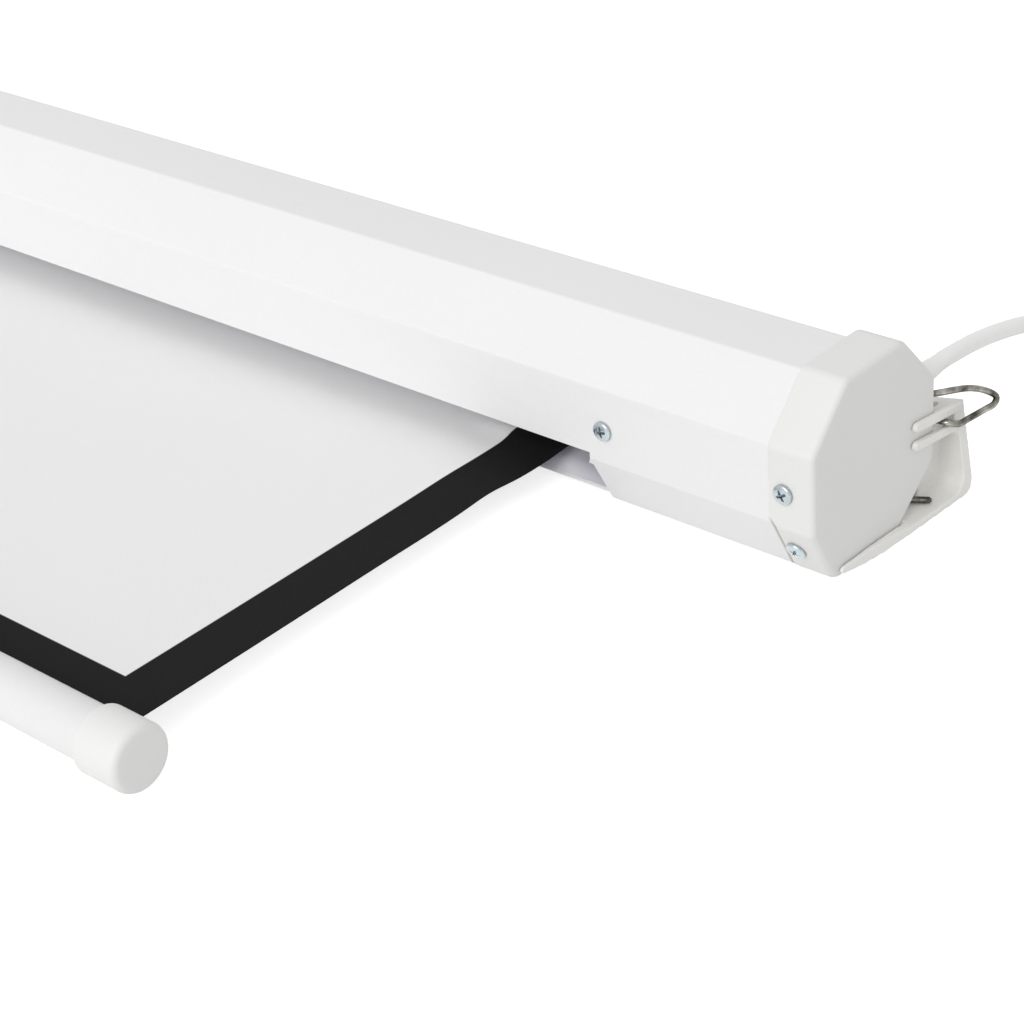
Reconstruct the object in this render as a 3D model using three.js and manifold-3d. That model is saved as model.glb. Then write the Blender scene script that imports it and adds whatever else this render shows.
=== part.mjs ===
// Electric pull-down projector screen: an eight-sided casing with a tubular motor and a fabric
// roll inside. It lies on its wall side, with the fabric drawn part of the way out of its slot.
// Millimetres. X runs along the casing (the motor end is +X), -Y is the way the fabric is drawn
// and +Z is up. The local frame starts at mid length, at the casing's front and bottom facets.
import * as THREE from 'three';
import { mergeVertices } from 'three/addons/utils/BufferGeometryUtils.js';
import Module from 'manifold-3d';

const wasm = await Module();
wasm.setup();

// Clearances and steps shared by all pieces
const clearance = 0.3;
const overrun = 2;
const cornerSteps = 3;
const roundSides = 32;

const picture = { width: 1328, height: 747, drawn: 198.7 };
const cloth = { border: 24, thickness: 0.42, spareLength: 300 };
const fabricWidth = picture.width + 2 * cloth.border;

// The casing's chamfers are given as the depth (Y) and height (Z) that they take off each corner.
const casing = {
  depth: 76.8, height: 80, wall: 1.5, cornerRadius: 2, insideRadius: 0.5, sideRoom: 137.4,
  frontTop: { y: 21.4, z: 21.9 }, backTop: { y: 24.6, z: 22.6 },
  backLow: { y: 22.8, z: 21.1 }, frontLow: { y: 13, z: 25 },
};
const slot = {
  endRoom: 107.1, top: 27.7, lipSetBack: 3.35, nibLength: 2.2, nibZ: 21.3,
  lipDepth: 8, lipHeight: 6, lipReach: 20, lipRise: 1.6, lipSteps: 5, returnDepth: 4,
};
const halfLength = fabricWidth / 2 + casing.sideRoom;

const cap = {
  depth: 20.1, face: 3, skirt: 1, cornerRadius: 5.5, crownRadius: 10, footRadius: 6.8,
  edgeRadius: 3.2, edgeSteps: 3, spigotWall: 1.8, spigotDepth: 15, notchWidth: 7, notchDepth: 5.2, backExtra: 3.7,
  stepDepth: 3.4, stepTop: 30, stepFoot: 24.5,
  backTop: { y: 22.6, z: 25 }, backLow: { y: 26, z: 20.8 },
};
const capOffset = cap.skirt + clearance;
const capBack = casing.depth + capOffset + cap.backExtra;
const casingEnd = halfLength - cap.face - clearance;

const screw = {
  headRadius: 4.1, headHeight: 1.9, rimShare: 0.4, domeSteps: 4, shankRadius: 1.7,
  length: 8, sides: 16,
};
const casingScrew = { endRoom: 99.4, z: 39.7 };
const capScrew = { endRoom: 13, lowEndRoom: 11.5, z: 40.1, chamferShare: 0.565 };

// Roller, with the fabric wound on it
const roller = { outer: 25, wall: 1.5, gap: 5, fabricZ: 12.4, y: casing.depth / 2 };
const rollTurnsLength = picture.height - picture.drawn + cloth.border + cloth.spareLength;
const rollRadius = Math.sqrt(roller.outer ** 2 + (cloth.thickness * rollTurnsLength) / Math.PI);
roller.z = roller.fabricZ + cloth.thickness / 2 + clearance + rollRadius;

const plate = {
  endRoom: 101, thickness: 2, tabLength: 9, tabHeight: 16, cornerRadius: 1,
  windowRadius: 6, windowShare: 0.85,
};
const motor = {
  radius: 17.5, length: 380, headRadius: 21, headLength: 28, neckLength: 6, shaftSize: 10,
  journalRadius: 6, journalLength: 12,
  shaftLength: 22, screwRadius: 1.6, screwHead: 3, screwRim: 1.5, screwTop: 2.4, screwPlace: 26,
  lugWidth: 12, lugThickness: 3, lugEnd: 4,
};
const crown = { length: 18, flangeThickness: 3 };
const driveWheel = { length: 16, endRoom: 3 };
const idler = { length: 26, pinRadius: 6, pinFlange: 13, flangeThickness: 3, reach: 20 };

// Bottom bar, its end caps and the rod that holds the hem in it
const bar = { radius: 10.85, wall: 1.3, slotWidth: 1.8, y: -229, z: 13.16, endRoom: 119.1 };
const barCap = { radius: 13.2, length: 20, face: 3, edgeRadius: 3, edgeSteps: 4 };
const keder = { radius: 2.6 };

// Clip-in mounting bracket: a flange for a wall, a flange for a ceiling, and two fingers. Its
// pieces are placed from its back face, which stands behind the end cap.
const bracket = {
  reach: 17, proud: 7.1, back: capBack + 18.2, floorThickness: 2.5, wallThickness: 5,
  wallTop: 37.9, heelRadius: 6, filletRadius: 8, tipGap: 3, tipZ: 3, tipRadius: 1.3,
  footRise: 36, topRise: 48, topRiseShare: 0.67, topSwell: 3.6, flangeLength: 44,
  webEnd: 6.5, webThickness: 2.5, webTop: 31, webLength: 40, ledgeDepth: 14, ledgeThickness: 1.9,
  taperYShare: 0.051, taperZShare: 0.147, topSlopeShare: 0.21, faceGap: 0.45,
  doorRoom: 0.6, doorBack: 3, doorHead: 1.2,
  holeRadius: 2.6, holeEnd: 13, backHoleZ: 20, floorHoleIn: 15,
};
const finger = {
  pitch: 8.15, length: 31, radius: 1.9, width: 2.4, tipIn: 34.3, tipZ: 41.2, drop: 4.2,
};
finger.tipY = bracket.back - finger.tipIn;

// Sprung wire that locks the end cap in the bracket. The box that it fills reaches inboard and
// outboard of the cap's face, from its low bend back to its loop and up to its crossing. The
// route gives each bend in shares of that box, along X, Y and Z.
const wire = {
  radius: 1.2, sides: 8, steps: 44, travel: 4,
  inboard: 13.5, outboard: 11.8, lowY: capBack - 10.3, loopY: capBack + 26.1, topZ: 43.6,
};
const wireShares = [
  [0.585, 0.179, 0], [0.336, 0.082, 0], [0.158, 0, 0], [0.02, 0.11, 0.066], [0, 0.385, 0.35],
  [0, 0.412, 0.619], [0.04, 0.426, 0.839], [0.178, 0.453, 0.956], [0.375, 0.508, 1],
  [0.684, 0.791, 0.993], [0.862, 0.931, 0.939], [0.976, 1, 0.87], [1, 0.931, 0.824],
  [0.889, 0.714, 0.782], [0.767, 0.503, 0.746], [0.652, 0.415, 0.77], [0.494, 0.393, 0.768],
  [0.375, 0.426, 0.738],
];

// Mains lead: strain relief, free stretch, coil and plug
const lead = {
  diameter: 7.2, sides: 10, endOffset: -10, z: 51, insideSteps: 16, freeSteps: 18, tailSteps: 10,
};
const relief = { inside: 8, outside: 15, barrel: 4.4, collar: 5.3, collarThickness: 1.2, tip: 3.9 };
const coil = {
  midDiameter: 78, turnsPerLayer: 3, layers: 2, climbTurns: 0.5, gap: 0.5, stepsPerTurn: 24,
  sides: 6,
};
const tie = { width: 8, thickness: 1.2, corner: 3 };
const plug = {
  radius: 18.5, faceLength: 14, waistRadius: 9, gripLength: 34, tailRadius: 5.4,
  flatDepth: 1.6, flatLength: 11, pinRadius: 2.4, pinLength: 19, pinPitch: 19, pinInside: 6,
  edgeRadius: 1.5, edgeSteps: 2, waistShare: 0.45, swellShare: 0.8, swellWidthShare: 1.15,
};
const surfaceZ = -capOffset;

// Solids and geometry

function toSolid(geometry) {
  const plain = geometry.clone();
  plain.deleteAttribute('normal');
  plain.deleteAttribute('uv');
  const merged = mergeVertices(plain, 1e-4);
  return new wasm.Manifold(new wasm.Mesh({
    numProp: 3,
    vertProperties: new Float32Array(merged.attributes.position.array),
    triVerts: new Uint32Array(merged.index.array),
  }));
}

function toGeometry(solid) {
  const mesh = solid.getMesh();
  const geometry = new THREE.BufferGeometry();
  geometry.setAttribute('position', new THREE.BufferAttribute(mesh.vertProperties, mesh.numProp));
  geometry.setIndex(new THREE.BufferAttribute(mesh.triVerts, 1));
  geometry.computeVertexNormals();
  return geometry;
}

function cut(base, ...tools) {
  return toGeometry(tools.reduce((left, tool) => left.subtract(toSolid(tool)), toSolid(base)));
}

function join(base, ...others) {
  return toGeometry(others.reduce((whole, other) => whole.add(toSolid(other)), toSolid(base)));
}

// The same shape for the other end of the screen
function mirrored(geometry) {
  const copy = geometry.clone().applyMatrix4(new THREE.Matrix4().makeScale(-1, 1, 1));
  const flat = copy.index ? copy.toNonIndexed() : copy;
  const position = flat.attributes.position;
  for (let i = 0; i < position.count; i += 3) {
    const second = new THREE.Vector3().fromBufferAttribute(position, i + 1);
    const third = new THREE.Vector3().fromBufferAttribute(position, i + 2);
    position.setXYZ(i + 1, ...third.toArray());
    position.setXYZ(i + 2, ...second.toArray());
  }
  flat.deleteAttribute('normal');
  flat.deleteAttribute('uv');
  const merged = mergeVertices(flat, 1e-4);
  merged.computeVertexNormals();
  return merged;
}

function box(from, to) {
  const size = to.map((high, axis) => high - from[axis]);
  const middle = to.map((high, axis) => (high + from[axis]) / 2);
  return new THREE.BoxGeometry(...size).translate(...middle);
}

// An outline of (Y, Z) points becomes a bar along X
function prism(shape, fromX, toX, bevel = {}) {
  const settings = { depth: toX - fromX, bevelEnabled: false, curveSegments: cornerSteps };
  const geometry = new THREE.ExtrudeGeometry(shape, { ...settings, ...bevel });
  const turn = new THREE.Matrix4().makeBasis(
    new THREE.Vector3(0, 1, 0), new THREE.Vector3(0, 0, 1), new THREE.Vector3(1, 0, 0));
  return geometry.applyMatrix4(turn).translate(fromX, 0, 0);
}

// An outline of (X, Z) points becomes a bar along Y
function cutterAlongY(points, fromY, toY) {
  const outline = new THREE.Shape(points.map(([x, z]) => new THREE.Vector2(x, z)));
  return new THREE.ExtrudeGeometry(outline, { depth: toY - fromY, bevelEnabled: false })
    .rotateX(Math.PI / 2)
    .translate(0, toY, 0);
}

function rodX(radius, fromX, toX, y, z, sides = roundSides) {
  return new THREE.CylinderGeometry(radius, radius, toX - fromX, sides)
    .rotateZ(-Math.PI / 2)
    .translate((fromX + toX) / 2, y, z);
}

// A profile of (radius, height) points turned about Z, then aimed along a direction from a place
function turned(profile, place, direction, sides = roundSides) {
  const points = profile.map(([radius, height]) => new THREE.Vector2(radius, height));
  const aim = new THREE.Quaternion().setFromUnitVectors(
    new THREE.Vector3(0, 0, 1), new THREE.Vector3(...direction).normalize());
  return new THREE.LatheGeometry(points, sides)
    .rotateX(Math.PI / 2)
    .applyQuaternion(aim)
    .translate(...place);
}

// Points of a quarter-circle edge on a turned profile, from the side to the end
function roundedEdge(radius, height, edge, steps) {
  return Array.from({ length: steps + 1 }, (_, i) => {
    const angle = (i / steps) * (Math.PI / 2);
    return [radius - edge + edge * Math.cos(angle), height - edge + edge * Math.sin(angle)];
  });
}

// Corner points moved outward by one distance
function offsetOutline(points, distance) {
  return points.map((point, i) => {
    const before = points.at(i - 1);
    const after = points[(i + 1) % points.length];
    const along = point.clone().sub(before).normalize();
    const next = after.clone().sub(point).normalize();
    const outward = new THREE.Vector2(along.y, -along.x);
    const nextOutward = new THREE.Vector2(next.y, -next.x);
    const half = outward.clone().add(nextOutward).normalize();
    return point.clone().addScaledVector(half, distance / half.dot(outward));
  });
}

// A closed outline whose corners are arcs, all of one radius or each of its own
function roundedOutline(points, radii) {
  const shape = new THREE.Shape();
  points.forEach((corner, i) => {
    const radius = Array.isArray(radii) ? radii[i] : radii;
    const before = points.at(i - 1).clone().sub(corner).normalize();
    const after = points[(i + 1) % points.length].clone().sub(corner).normalize();
    const halfAngle = Math.acos(before.dot(after)) / 2;
    const middle = before.clone().add(after).normalize();
    const centre = corner.clone().addScaledVector(middle, radius / Math.sin(halfAngle));
    const start = corner.clone().addScaledVector(before, radius / Math.tan(halfAngle));
    const end = corner.clone().addScaledVector(after, radius / Math.tan(halfAngle));
    const from = start.clone().sub(centre).angle();
    const to = end.clone().sub(centre).angle();
    if (i === 0) shape.moveTo(start.x, start.y);
    else shape.lineTo(start.x, start.y);
    shape.absarc(centre.x, centre.y, radius, from, to, false);
  });
  shape.closePath();
  return shape;
}

// Casing section, anticlockwise as seen from the motor end

const section = [
  [casing.frontLow.y, 0],
  [casing.depth - casing.backLow.y, 0],
  [casing.depth, casing.backLow.z],
  [casing.depth, casing.height - casing.backTop.z],
  [casing.depth - casing.backTop.y, casing.height],
  [casing.frontTop.y, casing.height],
  [0, casing.height - casing.frontTop.z],
  [0, casing.frontLow.z],
].map(([y, z]) => new THREE.Vector2(y, z));

// The end cap follows the casing at the front and stands further out at the back. Its crown
// and its foot are softer than its other corners.
const capSection = offsetOutline(section, capOffset);
const capTop = casing.height + capOffset;
capSection[1].set(capBack - cap.backLow.y, -capOffset);
capSection[2].set(capBack, cap.backLow.z - capOffset);
capSection[3].set(capBack, capTop - cap.backTop.z);
const capCrown = capSection[4].set(capBack - cap.backTop.y, capTop);
const capRadii = capSection.map(() => cap.cornerRadius);
capRadii[0] = cap.footRadius;
capRadii[capSection.indexOf(capCrown)] = cap.crownRadius;

function sectionPrism(offset, cornerRadii, fromX, toX, corners = section, bevel = {}) {
  const outline = roundedOutline(offsetOutline(corners, offset), cornerRadii);
  return prism(outline, fromX, toX, bevel);
}

// Middle and outward direction of the lower front chamfer, where the second cap screw sits
const chamferFoot = section[0];
const chamferHead = section[7];
const chamferMiddle = chamferFoot.clone().lerp(chamferHead, capScrew.chamferShare);
const chamferOut = new THREE.Vector2(
  chamferFoot.y - chamferHead.y, chamferHead.x - chamferFoot.x).normalize();

// Screws: place of the seat on the surface and the way that the head faces

function screwSeats() {
  const skirtOut = capOffset;
  return {
    casing: {
      place: [halfLength - casingScrew.endRoom, 0, casingScrew.z],
      out: [0, -1, 0],
    },
    capFront: {
      place: [halfLength - capScrew.endRoom, -skirtOut, capScrew.z],
      out: [0, -1, 0],
    },
    capChamfer: {
      place: [
        halfLength - capScrew.lowEndRoom,
        chamferMiddle.x + chamferOut.x * skirtOut, chamferMiddle.y + chamferOut.y * skirtOut,
      ],
      out: [0, chamferOut.x, chamferOut.y],
    },
  };
}

function panScrew(seat) {
  const { headRadius, headHeight, rimShare, domeSteps, shankRadius, length, sides } = screw;
  const dome = Array.from({ length: domeSteps }, (_, i) => {
    const angle = ((i + 1) / domeSteps) * (Math.PI / 2);
    const heightShare = rimShare + (1 - rimShare) * Math.sin(angle);
    return [headRadius * Math.cos(angle), clearance + headHeight * heightShare];
  });
  dome[domeSteps - 1][0] = 0;
  const profile = [
    [0, -length], [shankRadius, -length], [shankRadius, clearance], [headRadius, clearance],
    [headRadius, clearance + headHeight * rimShare], ...dome,
  ];
  return turned(profile, seat.place, seat.out, sides);
}

function screwHole(seat) {
  const radius = screw.shankRadius + clearance;
  const reach = screw.length + overrun;
  const profile = [[0, -reach], [radius, -reach], [radius, overrun], [0, overrun]];
  return turned(profile, seat.place, seat.out, screw.sides);
}

function bothEnds(geometry) {
  return [geometry, mirrored(geometry)];
}

// Casing

function casingTube() {
  const outer = sectionPrism(0, casing.cornerRadius, -casingEnd, casingEnd);
  const reach = casingEnd + overrun;
  const inner = sectionPrism(-casing.wall, casing.insideRadius, -reach, reach);
  return cut(outer, inner);
}

// The slot is cut through the front and the lower chamfer; a small nib stays at each end of it
function slotCutter() {
  const half = halfLength - slot.endRoom;
  const crease = casing.frontLow.z;
  const nib = half - slot.nibLength;
  return cutterAlongY([
    [-half, -overrun], [half, -overrun], [half, slot.nibZ], [nib, slot.nibZ], [half, crease],
    [half, slot.top], [-half, slot.top], [-half, crease], [-nib, slot.nibZ], [-half, slot.nibZ],
  ], -overrun, casing.frontLow.y + slot.lipSetBack);
}

// The slot's two long edges are turned in: the floor's is rolled, so that the cloth runs over it
// freely, and the front's has a return behind it
function slotEdges() {
  const half = halfLength - slot.endRoom;
  const foot = casing.frontLow.y + slot.lipSetBack;
  const quarter = (depth, height) => Array.from({ length: slot.lipSteps + 1 }, (_, i) => {
    const turn = (i / slot.lipSteps) * (Math.PI / 2);
    return new THREE.Vector2(
      foot + slot.lipDepth - depth * Math.cos(turn), height * Math.sin(turn));
  });
  const flange = slot.lipHeight + slot.lipRise;
  const lip = prism(new THREE.Shape([
    ...quarter(slot.lipDepth, slot.lipHeight),
    new THREE.Vector2(foot + slot.lipReach, flange),
    new THREE.Vector2(foot + slot.lipReach, flange - casing.wall),
    ...quarter(slot.lipDepth - casing.wall, slot.lipHeight - casing.wall).reverse(),
  ]), -half, half);
  const back = box([-half, casing.wall / 2, slot.top],
    [half, casing.wall + slot.returnDepth, slot.top + casing.wall]);
  return [lip, back];
}

function reliefHole() {
  const radius = relief.barrel + clearance;
  const place = [halfLength + lead.endOffset, casing.depth, lead.z];
  const from = -relief.inside - overrun;
  const to = capBack - casing.depth + overrun;
  const profile = [[0, from], [radius, from], [radius, to], [0, to]];
  return turned(profile, place, [0, 1, 0], screw.sides);
}

const seats = screwSeats();

function makeCasing() {
  const holes = Object.values(seats).flatMap((seat) => bothEnds(screwHole(seat)));
  return cut(join(cut(casingTube(), slotCutter()), ...slotEdges()), ...holes, reliefHole());
}

// End cap: a moulded skirt over the casing, a spigot inside it and a face with a soft edge

function makeEndCap() {
  const start = halfLength - cap.depth;
  const faceIn = halfLength - cap.face;
  const bevel = {
    bevelEnabled: true, bevelThickness: cap.edgeRadius, bevelSize: cap.edgeRadius,
    bevelOffset: -cap.edgeRadius, bevelSegments: cap.edgeSteps,
  };
  const block = sectionPrism(
    0, capRadii, start - overrun, halfLength - cap.edgeRadius, capSection, bevel);
  const wide = casing.depth + casing.height;
  const behind = box([start - wide, -wide, -wide], [start, wide, wide]);
  const skirtRoom = sectionPrism(clearance, casing.cornerRadius, start - wide, faceIn);
  const shell = cut(block, behind, skirtRoom);
  const inset = -casing.wall - clearance;
  const spigotOuter = sectionPrism(inset, casing.cornerRadius,
    halfLength - cap.spigotDepth, faceIn + cap.face / 2);
  const spigotInner = sectionPrism(inset - cap.spigotWall, casing.cornerRadius,
    start - overrun, faceIn);
  const spigot = cut(spigotOuter, spigotInner);
  const corner = section[0];
  const notch = box([start - overrun, corner.x - cap.notchWidth / 2, -capOffset - overrun],
    [start + cap.notchDepth, corner.x + cap.notchWidth / 2, clearance + cap.skirt]);
  const floor = -capOffset - overrun;
  const step = cutterAlongY([
    [start - overrun, floor], [start + cap.stepDepth, floor], [start + cap.stepDepth, cap.stepFoot],
    [start, cap.stepTop], [start - overrun, cap.stepTop],
  ], floor, corner.x);
  return cut(
    join(shell, spigot), notch, step, screwHole(seats.capFront), screwHole(seats.capChamfer));
}

// Support plates that carry the motor and the idler pin inside the casing

function makePlate(holeRadius, screwPlaces) {
  const inset = -casing.wall - clearance;
  const far = halfLength - plate.endRoom;
  const disc = sectionPrism(inset, plate.cornerRadius, far - plate.thickness, far);
  const front = -inset;
  const tab = box([far - plate.thickness / 2, front, casingScrew.z - plate.tabHeight / 2],
    [far + plate.tabLength, front + plate.thickness, casingScrew.z + plate.tabHeight / 2]);
  const from = far - plate.thickness - overrun;
  const to = far + overrun;
  const centreHole = rodX(holeRadius, from, to, roller.y, roller.z);
  const window = rodX(
    plate.windowRadius, from, to, casing.depth * plate.windowShare, roller.z, screw.sides);
  const pilots = screwPlaces.map(([y, z]) =>
    rodX(motor.screwRadius + clearance, from, to, y, z, screw.sides));
  return cut(join(disc, tab), centreHole, window, ...pilots, screwHole(seats.casing));
}

const plateOut = halfLength - plate.endRoom;
const plateIn = plateOut - plate.thickness;
const tubeHalf = plateIn - roller.gap;
const tubeBore = roller.outer - roller.wall;

// Tubular motor, its head screwed to the plate through two lugs

const motorScrewPlaces = [-1, 1].map((side) => [roller.y, roller.z + side * motor.screwPlace]);

function makeMotor() {
  const headFrom = plateOut + clearance;
  const tubeEnd = plateIn - motor.length;
  const body = rodX(motor.radius, tubeEnd, headFrom + motor.neckLength, roller.y, roller.z);
  const head = turned([
    [0, 0], [motor.headRadius, 0], ...roundedEdge(
      motor.headRadius, motor.headLength, motor.lugThickness, cornerSteps), [0, motor.headLength],
  ], [headFrom, roller.y, roller.z], [1, 0, 0]);
  const bearing = rodX(motor.journalRadius + clearance, tubeEnd - overrun,
    tubeEnd + motor.journalLength + clearance, roller.y, roller.z, screw.sides);
  const lugReach = motor.screwPlace + motor.lugEnd;
  const lug = box([headFrom, roller.y - motor.lugWidth / 2, roller.z - lugReach],
    [headFrom + motor.lugThickness, roller.y + motor.lugWidth / 2, roller.z + lugReach]);
  const pilots = motorScrewPlaces.map(([y, z]) => rodX(motor.screwRadius + clearance,
    headFrom - overrun, headFrom + motor.lugThickness + overrun, y, z, screw.sides));
  return cut(join(body, head, lug), bearing, ...pilots);
}

// Output shaft: a round journal in the motor's end and a square that drives the roller
function makeShaft() {
  const tubeEnd = plateIn - motor.length;
  const squareTo = tubeEnd - clearance;
  const half = motor.shaftSize / 2;
  const square = box([tubeEnd - motor.shaftLength, roller.y - half, roller.z - half],
    [squareTo, roller.y + half, roller.z + half]);
  const journal = rodX(motor.journalRadius, squareTo - overrun, tubeEnd + motor.journalLength,
    roller.y, roller.z, screw.sides);
  return join(square, journal);
}

function makeMotorScrews() {
  const seatX = plateOut + clearance + motor.lugThickness;
  const length = motor.lugThickness + plate.thickness + overrun;
  const profile = [
    [0, -length], [motor.screwRadius, -length], [motor.screwRadius, clearance],
    [motor.screwHead, clearance], [motor.screwHead, clearance + motor.screwRim],
    [0, clearance + motor.screwTop],
  ];
  return motorScrewPlaces.map(([y, z]) =>
    turned(profile, [seatX, y, z], [1, 0, 0], screw.sides));
}

// Rings that carry the roller: the crown on the motor head, the drive wheel on its shaft

function ring(outer, inner, fromX, toX) {
  return cut(rodX(outer, fromX, toX, roller.y, roller.z),
    rodX(inner, fromX - overrun, toX + overrun, roller.y, roller.z));
}

function makeCrown() {
  const bore = motor.radius + clearance;
  const sleeve = ring(tubeBore - clearance, bore, tubeHalf - crown.length, tubeHalf + overrun);
  const flangeFrom = tubeHalf + clearance;
  const flange = ring(roller.outer, bore, flangeFrom, flangeFrom + crown.flangeThickness);
  return join(sleeve, flange);
}

function makeDriveWheel() {
  const shaftEnd = plateIn - motor.length - driveWheel.endRoom;
  const wheel = rodX(tubeBore - clearance, shaftEnd - driveWheel.length, shaftEnd,
    roller.y, roller.z);
  const half = motor.shaftSize / 2 + clearance;
  const bore = box([shaftEnd - driveWheel.length - overrun, roller.y - half, roller.z - half],
    [shaftEnd + overrun, roller.y + half, roller.z + half]);
  return cut(wheel, bore);
}

function makeRollerTube() {
  return ring(roller.outer, tubeBore, -tubeHalf, tubeHalf);
}

function makeFabricRoll() {
  return ring(rollRadius, roller.outer + clearance, -fabricWidth / 2, fabricWidth / 2);
}

function makeIdlerPlug() {
  const bore = idler.pinRadius + clearance;
  const sleeve = ring(tubeBore - clearance, bore, -tubeHalf - overrun, -tubeHalf + idler.length);
  const flangeTo = -tubeHalf - clearance;
  const flange = ring(roller.outer, bore, flangeTo - idler.flangeThickness, flangeTo);
  return join(sleeve, flange);
}

function makeIdlerPin() {
  const seat = -plateOut - clearance;
  const profile = [
    [0, -idler.flangeThickness], [idler.pinFlange, -idler.flangeThickness],
    [idler.pinFlange, 0], [idler.pinRadius, 0],
    [idler.pinRadius, plate.thickness + roller.gap + idler.reach],
    [0, plate.thickness + roller.gap + idler.reach],
  ];
  return turned(profile, [seat, roller.y, roller.z], [1, 0, 0]);
}

// Drawn fabric: flat from the foot of the roll to the hem rod in the bottom bar

const hemY = bar.y + bar.radius - bar.wall - clearance - keder.radius;

function makeFabric() {
  const half = cloth.thickness / 2;
  const endY = hemY + keder.radius + clearance;
  const line = [[roller.y, roller.fabricZ], [0, roller.fabricZ], [endY, bar.z]];
  const outline = new THREE.Shape([
    ...line.map(([y, z]) => new THREE.Vector2(y, z - half)),
    ...line.toReversed().map(([y, z]) => new THREE.Vector2(y, z + half)),
  ].reverse());
  const sheet = prism(outline, -fabricWidth / 2, fabricWidth / 2);
  const barHalf = halfLength - bar.endRoom - barCap.length - clearance;
  const cornerFront = bar.y + barCap.radius + clearance;
  const corner = box([barHalf, bar.y - overrun, -overrun], [
    fabricWidth / 2 + overrun, cornerFront, bar.z + barCap.radius]);
  return cut(sheet, ...bothEnds(corner));
}

// Bottom bar

const barFace = halfLength - bar.endRoom;

function makeBar() {
  const half = barFace - barCap.face - clearance;
  const bore = bar.radius - bar.wall;
  const tube = cut(rodX(bar.radius, -half, half, bar.y, bar.z),
    rodX(bore, -half - overrun, half + overrun, bar.y, bar.z));
  const opening = box([-half - overrun, bar.y, bar.z - bar.slotWidth / 2],
    [half + overrun, bar.y + bar.radius + overrun, bar.z + bar.slotWidth / 2]);
  return cut(tube, opening);
}

function makeBarCap() {
  const bore = bar.radius + clearance;
  const depth = barCap.length - barCap.face;
  const profile = [
    [0, depth], [bore, depth], [bore, 0], [barCap.radius, 0],
    ...roundedEdge(barCap.radius, barCap.length, barCap.edgeRadius, barCap.edgeSteps),
    [0, barCap.length],
  ];
  return turned(profile, [barFace - barCap.length, bar.y, bar.z], [1, 0, 0]);
}

function makeKeder() {
  const half = barFace - barCap.length;
  return rodX(keder.radius, -half, half, hemY, bar.z, screw.sides);
}

// Mounting bracket

function bracketOutline() {
  const { back, wallTop, heelRadius, filletRadius } = bracket;
  const { tipZ, tipRadius, footRise, topRise, topSwell } = bracket;
  const inner = back - bracket.wallThickness;
  const floor = surfaceZ;
  const floorTop = floor + bracket.floorThickness;
  const tipY = casing.frontLow.y + bracket.tipGap;
  const shape = new THREE.Shape();
  shape.moveTo(tipY, tipZ - tipRadius);
  shape.quadraticCurveTo(tipY + footRise / 2, floor, tipY + footRise, floor);
  shape.lineTo(back - heelRadius, floor);
  shape.absarc(back - heelRadius, floor + heelRadius, heelRadius, -Math.PI / 2, 0, false);
  shape.lineTo(back, wallTop);
  shape.lineTo(inner, wallTop);
  shape.lineTo(inner, floorTop + filletRadius);
  shape.absarc(
    inner - filletRadius, floorTop + filletRadius, filletRadius, 0, -Math.PI / 2, true);
  shape.lineTo(tipY + topRise, floorTop);
  shape.quadraticCurveTo(
    tipY + topRise * bracket.topRiseShare, topSwell, tipY, tipZ + tipRadius);
  shape.absarc(tipY, tipZ, tipRadius, Math.PI / 2, Math.PI * 1.5, false);
  return shape;
}

// The flanges behind the end cap's face plane, which stop short of the bracket's tip
function bracketFlanges(from, to) {
  const nose = box([from - overrun, -overrun, surfaceZ - overrun],
    [to, bracket.back - bracket.flangeLength, bracket.wallTop]);
  return cut(prism(bracketOutline(), from, to), nose);
}

function capRoom(gap) {
  const reach = halfLength + clearance + gap;
  return sectionPrism(gap, capRadii, halfLength - casing.sideRoom, reach, capSection);
}

function bracketWeb() {
  const to = halfLength - bracket.webEnd;
  const from = to - bracket.webThickness;
  const floorTop = surfaceZ + bracket.floorThickness;
  const inner = bracket.back - bracket.wallThickness;
  const blank = box(
    [from, bracket.back - bracket.webLength, floorTop - bracket.floorThickness / 2],
    [to, inner + bracket.wallThickness / 2, bracket.webTop]);
  const door = box([from - overrun, wire.lowY - wire.radius - bracket.doorRoom, floorTop], [
    to + overrun, wire.lowY + wire.travel + wire.radius + bracket.doorBack,
    floorTop + wire.radius * 2 + bracket.doorHead]);
  return cut(blank, door);
}

// The flange ends lie in one slanting plane, furthest out at the heel
function slantBlock() {
  const high = casing.height;
  const deep = bracket.back + bracket.wallThickness;
  const width = bracket.reach * 2;
  const geometry = new THREE.BoxGeometry(width, deep * 2, high * 2);
  const position = geometry.attributes.position;
  for (let i = 0; i < position.count; i += 1) {
    if (position.getX(i) < 0) {
      position.setX(i, bracket.taperYShare * position.getY(i)
        - bracket.taperZShare * position.getZ(i));
    }
  }
  return geometry.translate(halfLength + bracket.proud, bracket.back, surfaceZ);
}

function bracketFinger(index) {
  const rise = Math.asin(finger.drop / finger.length);
  const tipZ = finger.tipZ - index * finger.pitch;
  const rootY = finger.tipY + finger.length * Math.cos(rise);
  const rootZ = tipZ - finger.drop;
  const across = new THREE.Vector2(Math.sin(rise), Math.cos(rise)).multiplyScalar(finger.radius);
  const shape = new THREE.Shape();
  shape.moveTo(rootY - across.x, rootZ - across.y);
  shape.lineTo(rootY + across.x, rootZ + across.y);
  shape.lineTo(finger.tipY + across.x, tipZ + across.y);
  const start = Math.PI / 2 - rise;
  shape.absarc(finger.tipY, tipZ, finger.radius, start, start + Math.PI, false);
  shape.closePath();
  const from = halfLength + bracket.faceGap;
  return prism(shape, from, from + finger.width);
}

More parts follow.
